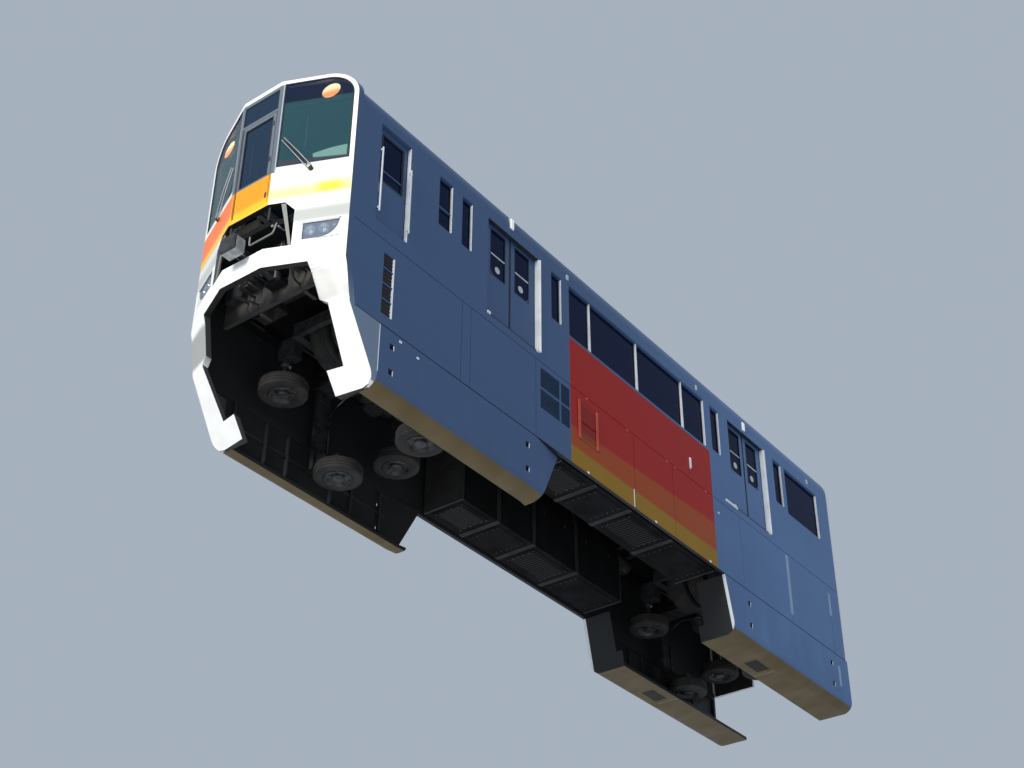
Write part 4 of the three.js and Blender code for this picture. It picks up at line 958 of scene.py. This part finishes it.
def coupler(place, pivot, head0, head1, sign):
    """Automatic coupler: eye, bar, and a head with its cone and cup."""
    piece = Piece(f"coupler_set_{place}", "steel", f"coupler_{place}")
    z = COUPLER_Z
    direction = (sign, 0, 0)

    def along(a):
        return pivot + sign * a

    def span(a, b):
        return sorted((along(a), along(b)))

    piece.add(STEEL, rod((pivot, 0, z - 0.06), (pivot, 0, z + 0.06), 0.09, 28))
    piece.add(MACHINE, box(span(0.06, head0 + 0.01), (-0.045, 0.045), (z - 0.05, z + 0.05)))
    if head0 > 0.5:
        for k in range(7):
            centre = (along(0.30 + 0.05 * k), 0, z)
            piece.add(RUBBER, hoop(0.05, 0.075, 0.0, 0.03, centre, direction, 24))
        piece.add(STEEL, *(rod((along(0.2), y, z - 0.07), (along(head0), y, z - 0.07), 0.012)
                           for y in (-0.06, 0.06)))
    head = [(-0.13, -0.13), (0.13, -0.13), (0.15, -0.10), (0.15, 0.10), (0.12, 0.13), (-0.12, 0.13),
            (-0.15, 0.10), (-0.15, -0.10)]
    plate = [(-0.131, -0.131), (0.131, -0.131), (0.152, -0.105), (0.152, 0.10), (0.122, 0.131),
             (-0.122, 0.131), (-0.152, 0.10), (-0.152, -0.105)]

    def sized(outline, scale):
        return [(y * scale, z + h * scale) for y, h in outline]

    piece.add(CAST_METAL, slab("x", sized(head, 1.0), *span(head0, head1 - 0.012)))
    piece.add(MACHINE, slab("x", sized(head, 0.9), *span(head1 - 0.013, head1)),
              band("x", sized(plate, 1.0), sized(plate, 0.88), *span(head1 - 0.035, head1 - 0.006)))
    front = along(head1 - 0.009)
    piece.add(CHROME, hoop(0.055, 0.062, 0.0, 0.008, (front, -0.075, z + 0.02), direction, 28),
              turned([(0.05, 0.0), (0.03, 0.007), (0.0, 0.008)], (front, 0.075, z + 0.02), direction, 28))
    piece.add(STEEL, *(rod((along(head0 + 0.02), y, z + 0.1), (along(head1 - 0.02), y, z + 0.1), 0.018)
                       for y in (-0.11, 0.11)))
    piece.done(0.004, replaces=[f"coupler_{place}"])


def front_door_details():
    """Glass, seal, catches and hinge strip of the front door."""
    piece = Piece("front_door_glass", "glass", "front_door")
    piece.add(DOOR_GLASS, box((NOSE - 0.026, NOSE - 0.020), (-0.2849, 0.2849), (1.9601, 3.1049)))
    piece.done()
    trim = Piece("front_door_trim", "rubber", "front_door")
    outer = rounded(-0.2855, 0.2855, 1.9595, 3.1055, 0.03)
    inner = rounded(-0.268, 0.268, 1.977, 3.088, 0.022)
    trim.add(RUBBER, band("x", outer, inner, NOSE - 0.036, NOSE - 0.004))
    trim.add(DARK, *(box((NOSE, NOSE + 0.005), (0.29, 0.325), (z, z + 0.09)) for z in (1.52, 2.2, 2.9)),
             box((NOSE, NOSE + 0.006), (-0.33, -0.318), (1.43, 3.15)))
    trim.done(0.001)


# Side details
def window_frames(side, sign):
    """Linings in the side's paint, each with its rear jamb in pale paint as painted sunlight, and seals,
    bars and mullions.
    """
    frames = Piece(f"window_frames_{side}", "steel", sign=sign)
    seals = Piece(f"window_seals_{side}", "rubber", sign=sign)
    for front, rear, bottom, top in WINDOWS:
        edges = (rear, front, bottom, top)
        inner = rounded(*edges, 0.03, 2, inset=0.014)
        frames.add(SILVER, band("y", rounded(*edges, 0.003, 2, inset=0.0005), inner, INNER + 0.001,
                                HALF_WIDTH - 0.004))
        # The rear jamb, turned to the front, in pale paint: painted sunlight.
        frames.add(PALE_AND_SUNLIT, box((rear + 0.0142, rear + 0.022), (INNER + 0.013, HALF_WIDTH - 0.003),
                             (bottom + 0.03, top - 0.03)))
        opening = rounded(*edges, 0.03, 2, inset=0.028)
        seals.add(RUBBER, band("y", inner, opening, INNER + 0.0005, INNER + 0.012))
        if front == CAB_WINDOW_FRONT:
            frames.add(SILVER, box((rear + 0.01, front - 0.01), (INNER + 0.001, INNER + 0.03),
                                   (BAR_Z, BAR_Z + 0.025)))
    # Mullions in the pale paint, which is partly painted sunlight.
    for x in BAND_MULLIONS:
        taper = [(x - 0.018, 1.955), (x + 0.018, 1.955), (x + 0.007, 2.975), (x - 0.007, 2.975)]
        frames.add(PALE_AND_SUNLIT, slab("y", taper, INNER + 0.001, INNER + 0.045))
        seals.add(RUBBER, *(box((x + a, x + a + 0.012), (INNER + 0.0008, INNER + 0.012), (1.97, 2.965))
                            for a in (-0.033, 0.021)))
    frames.done(0.002)
    seals.done(0.001)


def leaf_details(place, end, side, sign):
    """Glass, seal, bar, sticker and rubber edge of one passenger door leaf."""
    node = f"door_{place}_{end}_{side}"
    x0 = DOORWAYS[place]
    direction = 1 if end == "fore" else -1
    a, b, z0, z1 = LEAF_PANE

    def span(near, far):
        return sorted((x0 + direction * near, x0 + direction * far))

    glass = Piece(f"leaf_glass_{place}_{end}_{side}", "glass", node, sign)
    glass.add(SIDE_GLASS, box(span(a + 0.0003, b - 0.0003), (1.387, 1.393), (z0 + 0.0003, z1 - 0.0003)))
    glass.done()
    trim = Piece(f"leaf_trim_{place}_{end}_{side}", "rubber", node, sign)
    x = span(a - 0.0005, b + 0.0005)
    z = (z0 - 0.0005, z1 + 0.0005)
    trim.add(RUBBER, band("y", rounded(*x, *z, 0.03), rounded(*x, *z, 0.022, inset=0.014), 1.378, 1.4085))
    corner = [(x0 + direction * (b - u), z[0] + v) for u, v in (
        (0.10, 0.01), (0.01, 0.01), (0.01, 0.10), (0.04, 0.035))]
    trim.add(SILVER, slab("y", corner, 1.394, 1.4075))
    sticker = x0 + direction * 0.30
    trim.add(PALE_TRIM, box((x[0] + 0.01, x[1] - 0.01), (1.394, 1.407), (BAR_Z, BAR_Z + 0.022)),
             rod((sticker, 1.3931, 2.19), (sticker, 1.3941, 2.19), 0.062, 28))
    trim.add(RUBBER, box(span(0.0025, 0.022), (1.374, 1.409), (FLOOR + 0.01, 3.04)))
    trim.done(0.001)


def crew_door_details(side, sign):
    """Glass, seal, bar and handle of a crew door."""
    node = f"crew_door_{side}"
    glass = Piece(f"crew_glass_{side}", "glass", node, sign)
    glass.add(SIDE_GLASS, box((6.0503, 6.5097), (1.397, 1.403), (2.0903, 2.9397)))
    glass.done()
    trim = Piece(f"crew_trim_{side}", "steel", node, sign)
    outer = rounded(6.028, 6.532, 2.068, 2.962, 0.035)
    inner = rounded(6.062, 6.498, 2.102, 2.928, 0.02)
    trim.add(RUBBER, band("y", outer, inner, 1.404, 1.4225))
    trim.add(SILVER, box((6.055, 6.505), (1.404, 1.418), (2.27, 2.292)))
    trim.add(ALUMINIUM, box((6.50, 6.565), (1.42, 1.424), (1.84, 1.99)))
    handle = [(6.53, 1.42, 1.87), (6.53, 1.448, 1.87), (6.53, 1.448, 1.96), (6.53, 1.42, 1.96)]
    trim.add(CHROME, pipe(handle, 0.008, bend=0.02))
    trim.done(0.001)


def side_fittings(side, sign):
    """Small fittings on the side: lamps and sills of the doorways, the hatch's bars, the grille, louvres,
    pale strips and screws. Pale paint on rear jambs, rims, strips and screws is partly painted sunlight,
    and dark sheets in holes, slots and behind the grille are painted shade."""
    piece = Piece(f"side_fittings_{side}", "steel", sign=sign)
    out = HALF_WIDTH

    def plate(finish, x0, x1, y0, y1, z0, z1):
        """A box whose Y edges are measured outwards from the side."""
        piece.add(finish, box((x0, x1), (out + y0, out + y1), (z0, z1)))

    for x, z0, z1 in ((3.50, 3.12, 3.33), (-3.71, 3.03, 3.22)):
        plate(PALE_TRIM, x - 0.045, x + 0.045, -0.04, 0.010, z0, z1)
        plate(LAMP_WHITE, x - 0.036, x + 0.036, -0.02, 0.024, z0 + 0.012, z1 - 0.012)
    for x0 in DOORWAYS.values():
        jamb, end = x0 - DOORWAY_HALF, x0 + DOORWAY_HALF
        # The doorway's rear jamb, a slanted wedge behind it and small plates at its sill in pale paint:
        # painted sunlight on faces turned to the front.
        plate(PALE_AND_SUNLIT, jamb + 0.0004, jamb + 0.012, -SKIN - 0.0155, -0.002, FLOOR + 0.02, DOORWAY_TOP)
        wedge = [(jamb + 0.003, out - 0.001), (jamb + 0.003, out + 0.001), (jamb - 0.025, out + 0.020),
                 (jamb - 0.038, out + 0.018), (jamb - 0.038, out - 0.001)]
        piece.add(PALE_AND_SUNLIT, slab("z", wedge, FLOOR + 0.02, DOORWAY_TOP))
        plate(RUBBER, jamb + 0.014, end - 0.01, 0.001 - SKIN, -0.006, 2.971, 2.9795)
        plate(DARK, jamb + 0.005, end - 0.005, 1.432 - out, 0.004, FLOOR + 0.0005, FLOOR + 0.014)
        for x in (x0 - 0.62, x0 + 0.62):
            plate(PALE_AND_SUNLIT, x - 0.035, x + 0.035, -0.002, 0.016, FLOOR - 0.01, FLOOR + 0.035)
    for x in (1.99, -2.03, -6.18):
        plate(PALE_TRIM, x - 0.025, x + 0.025, -0.03, 0.018, 3.05, 3.15)
    for strip in ((-5.03, -4.93, -0.001, 0.002, -0.28, 0.94), (-6.64, -6.56, -0.001, 0.002, 0.34, 0.82),
                  (-6.72, -6.64, -0.001, 0.002, -1.08, -0.67)):
        plate(PALE_BLUE, *strip)
    # Pale strips and a pale step: partly pale trim, partly painted sunlight on edges.
    for strip in ((0.188, 0.212, -0.001, 0.002, -0.43, -0.10),
                  (5.9455, 5.953, 1.426 - out, -0.002, 1.24, 3.04),
                  (-3.22, -2.82, -0.002, 0.018, 1.095, 1.14), (6.383, 6.397, -0.001, 0.0015, -1.24, -0.47),
                  (6.176, 6.190, -0.001, 0.006, -0.27, 0.77)):
        plate(PALE_AND_SUNLIT, *strip)
    step = [(out - 0.001, 1.19), (out + 0.026, 1.21), (out + 0.026, 1.40), (out - 0.001, 1.42)]
    piece.add(PALE_AND_SUNLIT, slab("x", step, -1.655, -1.625))
    x0, x1, z0, z1 = HATCH
    for a, b, c, d in ((x0, x1, z0, z0 + 0.01), (x0, x1, z1 - 0.01, z1), (x0, x0 + 0.01, z0, z1),
                       (x1 - 0.01, x1, z0, z1)):
        plate(DARK_AND_SHADE, a, b, -0.0005, 0.0012, c, d)
    # The hatch's raised bars, paler than the panel: panel paint with painted sunlight.
    for x in (x0 + 0.055, x1 - 0.055):
        plate(BAR_RED_AND_SUNLIT, x - 0.028, x + 0.028, -0.0005, 0.014, z0 + 0.01, z1 - 0.01)
    plate(SILVER, x0 + 0.07, x1 - 0.07, -0.0005, 0.010, 0.44, 0.465)
    # Each skirt hole: a pale rim of painted sunlight at its rear edge, and dark sheets of painted shade
    # inside.
    for x, z in SKIRT_HOLES:
        plate(PALE_AND_SUNLIT, x - 0.0447, x - 0.038, -0.012, -0.0015, z - 0.043, z + 0.043)
        plate(DARK_AND_SHADE, x - 0.0447, x - 0.040, -0.058, -0.0125, z - 0.043, z + 0.043)
        plate(DARK_AND_SHADE, x - 0.0395, x + 0.0447, -0.058, -0.002, z + 0.041, z + 0.0443)
    # Screws and small brackets: paler red on the warm panel and pale elsewhere, partly painted sunlight.
    for finish, screws in (
            (BRACKET_RED_AND_SUNLIT, [(x, 0.95) for x in (1.5, 0.34, -0.87, -1.12, -2.11)]),
            (PALE_AND_SUNLIT, [(1.50, -0.425), (-0.42, -0.425), (-2.11, -0.425), (-2.52, 0.71), (5.97, -0.53),
                    (5.60, -0.59)])):
        for x, z in screws:
            plate(finish, x - 0.022, x + 0.022, -0.001, 0.010, z - 0.016, z + 0.016)
    # The grille in four fields, and the louvres behind the nose
    for x0, x1 in ((2.24, 2.74), (1.97, 2.20)):
        for z0, z1 in ((0.13, 0.48), (0.52, 0.876)):
            count = round((z1 - z0) / 0.035)
            for k in range(count):
                z = z0 + (z1 - z0) / count * k
                blade = [(out - 0.020, z + 0.028), (out - 0.017, z + 0.030), (out - 0.002, z + 0.008),
                         (out - 0.005, z + 0.004)]
                piece.add(SILVER, slab("x", blade, x0, x1))
            # The grille's back sheet in slate blue-grey: painted shade behind the blades.
            plate(SLOT_SHADE, x0, x1, -0.0225, -0.0205, z0, z1)
    # Louvres behind the nose: dark back sheets of painted shade, and pale strips of painted sunlight on
    # their rear edges.
    for z0 in (-0.27, -0.005, 0.26, 0.525):
        plate(DARK_AND_SHADE, 6.19, 6.40, -0.0225, -0.0205, z0, z0 + 0.245)
        for z in (z0 + 0.05, z0 + 0.11, z0 + 0.17):
            plate(DARK, 6.20, 6.40, -0.021, -0.010, z, z + 0.010)
        plate(PALE_AND_SUNLIT, 6.1905, 6.20, -0.020, -0.001, z0, z0 + 0.245)
    piece.done(0.0015)


def roof_fittings():
    """Fan grilles, louvres and bolts of the cooling units."""
    piece = Piece("roof_fittings", "steel")
    top = ROOF_TOP
    rim = [(0.255, 0.0), (0.285, 0.0), (0.28, 0.004), (0.26, 0.004)]
    for x0 in (UNIT_REACH, -UNIT_REACH):
        for x in (x0 - FAN_REACH, x0 + FAN_REACH):
            middle = Vector((x, 0, top))
            piece.add(ALUMINIUM, turned(rim, middle, UP, 40, closed=True))
            # A dark disc under each grille: painted shade inside the fan.
            piece.add(DARK_AND_SHADE, rod(middle, middle + Vector((0, 0, 0.0012)), 0.256, 40))
            for k in range(1, 6):
                piece.add(STEEL, hoop(0.045 * k, 0.045 * k + 0.008, 0.0014, 0.0038, middle, UP, 40))
            middle.z += 0.0026
            for k in range(6):
                angle = math.pi * k / 6
                reach = Vector((math.cos(angle), math.sin(angle), 0)) * 0.256
                piece.add(STEEL, rod(middle - reach, middle + reach, 0.0012, 6))
        # Louvre slots as dark strips: painted shade.
        for k in range(12):
            x = x0 - 0.33 + 0.06 * k
            piece.both(DARK_AND_SHADE, box((x - 0.018, x + 0.018), (0.35, 0.72), (top - 0.0005, top + 0.001)))
        piece.both(STEEL, *bolt_row((x0 - 1.26, 0.77, top - 0.001), (x0 + 1.26, 0.77, top - 0.001), 12, UP,
                                    0.009, 0.0045))
    piece.done()


# Rear end
def bellows():
    """Gangway bellows in folds, with a clamping frame at each end."""
    piece = Piece("gangway_folds", "rubber")
    folds = 5
    start, end = COUPLING + 0.02, REAR - 0.0203
    loops = []

    def fold(k, y, bottom, top, radius):
        grow = 0.038 if k % 2 else -0.005
        x = start + (end - start) * k / (2 * folds)
        loops.append([(x, *point) for point in rounded(-y, y, bottom, top, radius, 6, inset=-grow)])

    for k in range(2 * folds + 1):
        fold(k, 0.76, 1.02, 3.16, 0.09)
    for k in range(2 * folds, -1, -1):
        fold(k, 0.69, 1.09, 3.09, 0.05)
    piece.add(BELLOWS, skin(loops, closed_along=True))
    outer = rounded(-0.79, 0.79, 0.99, 3.19, 0.10, 6)
    inner = rounded(-0.6, 0.6, 1.135, 3.05, 0.02, 6)
    for x in (COUPLING, REAR - 0.0223):
        piece.add(DARK, band("x", outer, inner, x, x + 0.022))
    bolt_x = COUPLING + 0.0215
    piece.add(STEEL, *bolt_row((bolt_x, -0.70, 3.17), (bolt_x, 0.70, 3.17), 9, FORE))
    piece.done(0.002, replaces=["gangway_bellows"])


def rear_fittings():
    """Hoses, sockets, steps, handles and lamps on the rear wall, and its dark backing."""
    piece = Piece("rear_fittings", "dark_paint")
    piece.both(UNDER, box((REAR + SKIN + 0.0005, REAR + SKIN + 0.004), (0.53, 1.38), (-0.44, 0.85)))
    for y in (0.95, 1.12):
        piece.both(DARK, box((REAR - 0.05, REAR), (y - 0.06, y + 0.06), (1.30, 1.46)))
        plug = [(0.045, 0.0), (0.045, 0.025), (0.0, 0.03)]
        piece.both(STEEL, turned(plug, (REAR - 0.05, y, 1.38), AFT, 20))
    piece.both(LAMP_RED, turned([(0.06, 0.0), (0.055, 0.02), (0.0, 0.03)], (REAR, 1.15, 3.0), AFT, 28))

    def on_wall(finish, places, radius, bend):
        """A pipe through places that stand some way behind the wall."""
        piece.both(finish, pipe([(REAR - gap, y, z) for gap, y, z in places], radius, bend))

    on_wall(CHROME, [(0, 0.9, 1.7), (0.045, 0.9, 1.7), (0.045, 0.9, 2.7), (0, 0.9, 2.7)], 0.012, 0.03)
    for z in (0.15, 0.5, 0.85):
        on_wall(STEEL, [(0, 0.95, z), (0.09, 0.95, z), (0.09, 1.25, z), (0, 1.25, z)], 0.012, 0.03)
    for y, length in ((0.62, 0.30), (0.70, 0.36), (0.78, 0.28)):
        on_wall(RUBBER, [(-0.02, y, 0.72), (0.12, y, 0.72), (0.17, y, 0.72 - length / 2),
                         (0.12, y, 0.72 - length), (-0.02, y, 0.72 - length)], 0.02, 0.1)
    piece.done(0.003)


# Inside
def superpad(low, high):
    """A closed crowned pad that fills a box and pulls in towards its corners."""
    centre = (Vector(low) + Vector(high)) / 2
    half = (Vector(high) - Vector(low)) / 2

    def crowned(value):
        return math.copysign(abs(value) ** PAD_POWER, value)

    loops = []
    turns = [math.tau * k / PAD_COLUMNS for k in range(PAD_COLUMNS)]
    for i in range(PAD_ROWS + 1):
        lat = (i / PAD_ROWS - 0.5) * math.pi * 0.998
        wide = crowned(math.cos(lat))
        loops.append([centre + Vector((half.x * wide * crowned(math.cos(turn)),
                                       half.y * wide * crowned(math.sin(turn)),
                                       half.z * crowned(math.sin(lat)))) for turn in turns])
    return skin(loops)


def bench(name, x0, x1, side, sign):
    """A row of seats along the wall: a pad and a backrest for each, on a boxed base."""
    seats = round((x1 - x0) / 0.46)
    pitch = (x1 - x0) / seats
    pads = Piece(f"{name}_pads_{side}", "seat_fabric", sign=sign)
    for k in range(seats):
        a = x0 + pitch * k + 0.004
        b = x0 + pitch * (k + 1) - 0.004
        pads.add(SEAT, superpad((a, 0.925, 1.485), (b, 1.33, 1.605)),
                 superpad((a, 1.30, 1.60), (b, 1.40, 1.93)))
    pads.done(sharp=60, replaces=[f"{name}_{side}"])
    base = Piece(f"{name}_base_{side}", "interior_trim", sign=sign)
    foot = FLOOR + 0.0005
    shell = [(1.40, foot), (1.40, 1.475), (0.955, 1.48), (0.95, 1.455), (1.01, 1.44), (1.05, foot)]
    base.add(TRIM, slab("x", shell, x0, x1))
    base.add(ALUMINIUM, *(box((x, x + 0.024), (1.0, 1.40), (foot, 1.92)) for x in (x0, x1 - 0.024)))
    base.add(CARPET, box((x0 + 0.4, x0 + 0.9), (1.028, 1.05), (1.2, 1.4)))
    base.done(0.006)


def saloon():
    """Ceiling with its lights and air slots, hanging straps, and the floor covering."""
    piece = Piece("ceiling", "interior_trim")
    x = (-6.95, 5.66)
    piece.add(CEILING_WHITE, box(x, (-0.40, 0.40), (3.265, CEILING_TOP)))
    piece.both(CEILING_WHITE, box(x, (0.66, 1.10), (3.275, CEILING_TOP)))
    piece.both(TUBE_LIGHT, box(x, (0.46, 0.60), (3.268, CEILING_TOP)))
    piece.both(ALUMINIUM, *(box(x, y, (3.262, CEILING_TOP)) for y in ((0.44, 0.46), (0.60, 0.62))))
    piece.both(DARK_AND_SHADE, *(box(x, (y - 0.012, y + 0.012), (3.262, 3.266)) for y in (0.04, 0.12)))
    piece.done(0.002)
    straps = Piece("hand_straps", "interior_trim")
    for k in range(34):
        x = -6.3 + k * 0.335
        if min(abs(x - 2.03), abs(x + 2.35), abs(x + 5.18)) > 0.06:
            straps.both(TRIM, box((x - 0.012, x + 0.012), (0.897, 0.903), (2.66, 2.885)))
            straps.both(WHITE, hoop(0.043, 0.057, -0.006, 0.006, (x, 0.9, 2.61), FORE, 20))
    straps.done()
    cover = Piece("floor_cover", "interior_trim")
    cover.add(CARPET, box((-6.98, 5.69), (-0.86, 0.86), (FLOOR + 0.0004, FLOOR + 0.004)))
    cover.done()


def cab():
    """Driver's desk with blank screens, the cabinet opposite and the padded seat."""
    piece = Piece("cab_desk", "interior_trim")
    base = FLOOR + 0.0005
    piece.both(TRIM, slab("y", [(6.95, base), (7.06, base), (7.08, 1.86), (6.99, 1.80)], 0.43, 1.30))
    piece.both(DESK, slab("y", [(6.99, 1.79), (7.09, 1.87), (7.09, 1.89), (6.98, 1.815)], 0.42, 1.31))
    piece.add(DARK, slab("y", [(7.0, 1.83), (7.05, 1.86), (7.03, 1.98), (7.01, 1.975)], 0.62, 1.12))
    screen = [(7.0, 1.845), (7.012, 1.85), (7.005, 1.965), (6.998, 1.96)]
    piece.add(SCREEN, *(slab("y", screen, a, a + 0.21) for a in (0.65, 0.88)))
    piece.add(CHROME, rod((7.03, 0.52, 1.83), (7.0, 0.52, 1.98), 0.010))
    knob = [(0.0, 0.0), (0.022, 0.004), (0.026, 0.03), (0.018, 0.05), (0.0, 0.055)]
    piece.add(DARK, turned(knob, (7.0, 0.52, 1.96), (-0.2, 0, 1), 20))
    piece.both(DARK, box((6.3, 6.92), (0.0, 1.34), (base, base + 0.010)))
    piece.done(0.006, replaces=["cab_fittings"])
    chair = Piece("driver_seat", "seat_fabric")
    chair.add(SEAT, superpad((6.45, 0.39, 1.545), (6.88, 0.81, 1.66)),
              superpad((6.41, 0.40, 1.64), (6.53, 0.80, 2.23)))
    chair.done(sharp=60)
    stand = Piece("driver_seat_stand", "steel")
    post = [(0.16, 0.0), (0.16, 0.02), (0.07, 0.04), (0.055, 0.06), (0.055, 0.36), (0.12, 0.40)]
    stand.add(DARK, turned(post, (6.66, 0.6, base + 0.011), UP, 28),
              box((6.50, 6.82), (0.44, 0.76), (1.525, 1.55)), box((6.42, 6.46), (0.48, 0.72), (1.55, 2.10)))
    stand.done(0.004)


# The kept nodes and their finishes
def dress_nodes():
    for side in SIDES:
        walls = ("side_wall", "lower_panel", "skirt_front", "skirt_rear")
        leaves = [f"door_{place}_{end}" for place in DOORWAYS for end in ENDS]
        dress(SILVER, *(f"{name}_{side}" for name in walls))
        dress(SILVER, *(f"{name}_{side}" for name in ("crew_door", *leaves)), width=0.003)
        dress(SIDE_GLASS, f"side_glass_{side}", width=0)
        dress(SCREEN_GLASS, f"windscreen_{side}", width=0)
    dress(SILVER, "roof")
    # The floor's underside in the case paint, which is partly painted shade.
    dress(CASE_PAINT_AND_SHADE, "floor")
    dress(NOSE_WHITE, "nose_frame", width=0.003)
    dress(NOSE_WHITE, "front_door")
    dress(WHITE, "rear_wall")
    dress(DOOR_GLASS, "transom_glass", width=0)
    dress(TRIM, "cab_bulkhead")
    dress(CHROME, "grab_rails", width=0)


# Camera, light and floor
CAMERA_AT = Vector((19.057, 13.432, -13.343))
AIM = Vector((4.663, 2.410, -0.879))
CAMERA_ROLL = 0.384
LENS = 56.25


def put(name, data, place, target, roll=0.0):
    """Stands a camera or a light at a place and turns it to its target."""
    thing = bpy.data.objects.new(name, data)
    bpy.context.scene.collection.objects.link(thing)
    turn = (Vector(target) - Vector(place)).to_track_quat("-Z", "Y").to_matrix().to_4x4()
    thing.matrix_world = Matrix.Translation(place) @ turn @ Matrix.Rotation(math.radians(roll), 4, "Z")
    return thing


def camera():
    data = bpy.data.cameras.new("camera")
    data.lens = LENS
    data.sensor_width = 36.0
    data.clip_end = 500.0
    bpy.context.scene.camera = put("camera", data, CAMERA_AT, AIM, CAMERA_ROLL)


def area_light(name, place, target, size, power, colour):
    data = bpy.data.lights.new(name, "AREA")
    data.shape = "RECTANGLE"
    data.size, data.size_y = size
    data.energy = power
    data.color = colour
    put(name, data, place, target)


def studio():
    bpy.context.scene.view_settings.view_transform = "Standard"
    world = bpy.data.worlds.new("pale_room")
    world.use_nodes = True
    back = world.node_tree.nodes["Background"]
    back.inputs["Color"].default_value = (0.70, 0.80, 0.94, 1.0)
    back.inputs["Strength"].default_value = 0.55
    bpy.context.scene.world = world
    area_light("front_key", (34, 3, 9), (4, 0, 1), (8, 9), 8500, (1.0, 0.97, 0.92))
    area_light("side_fill", (-6, 26, 6), (-3, 0, 1), (16, 9), 350, (0.84, 0.92, 1.0))
    area_light("low_fill", (10, 12, -11), (1, 0, 0), (12, 8), 160, (1.0, 0.95, 0.88))
    ground = bpy.data.meshes.new("studio_floor")
    reach = 90.0
    corners = [(x, y, CAMERA_AT.z - 0.06) for x, y in square(-reach, reach, -reach, reach)]
    ground.from_pydata(corners, [], [(0, 1, 2, 3)])
    finish = Finish("studio_floor", roughness=0.9, colour="f1f2f2")
    finish.lay(finish.noise(0.4, 2.0), "f6f6f6")
    ground.materials.append(finish.done())
    thing = bpy.data.objects.new("studio_floor", ground)
    bpy.context.scene.collection.objects.link(thing)


camera()
studio()
dress_nodes()
for place in BOGIES:
    bogie(place)
    for end in ENDS:
        wheelset(place, end)
        for side in SIDES:
            side_wheel(f"guide_wheel_{place}_{end}_{side}")
    for side in SIDES:
        side_wheel(f"stabiliser_{place}_{side}")
for side, sign in SIDES.items():
    for make in (equipment, skirt_ribs, headlamp, window_frames, crew_door_details, side_fittings):
        make(side, sign)
    bench("bench_middle", -2.25, 1.93, side, sign)
    bench("bench_end", -6.65, -5.24, side, sign)
    for place in DOORWAYS:
        for end in ENDS:
            leaf_details(place, end, side, sign)
underfloor()
roof_fittings()
nose_trim()
pocket_fittings()
coupler("front", 7.0, 0.76, 0.96, 1)
coupler("rear", -6.88, 0.30, 0.42, -1)
front_door_details()
bellows()
rear_fittings()
saloon()
cab()
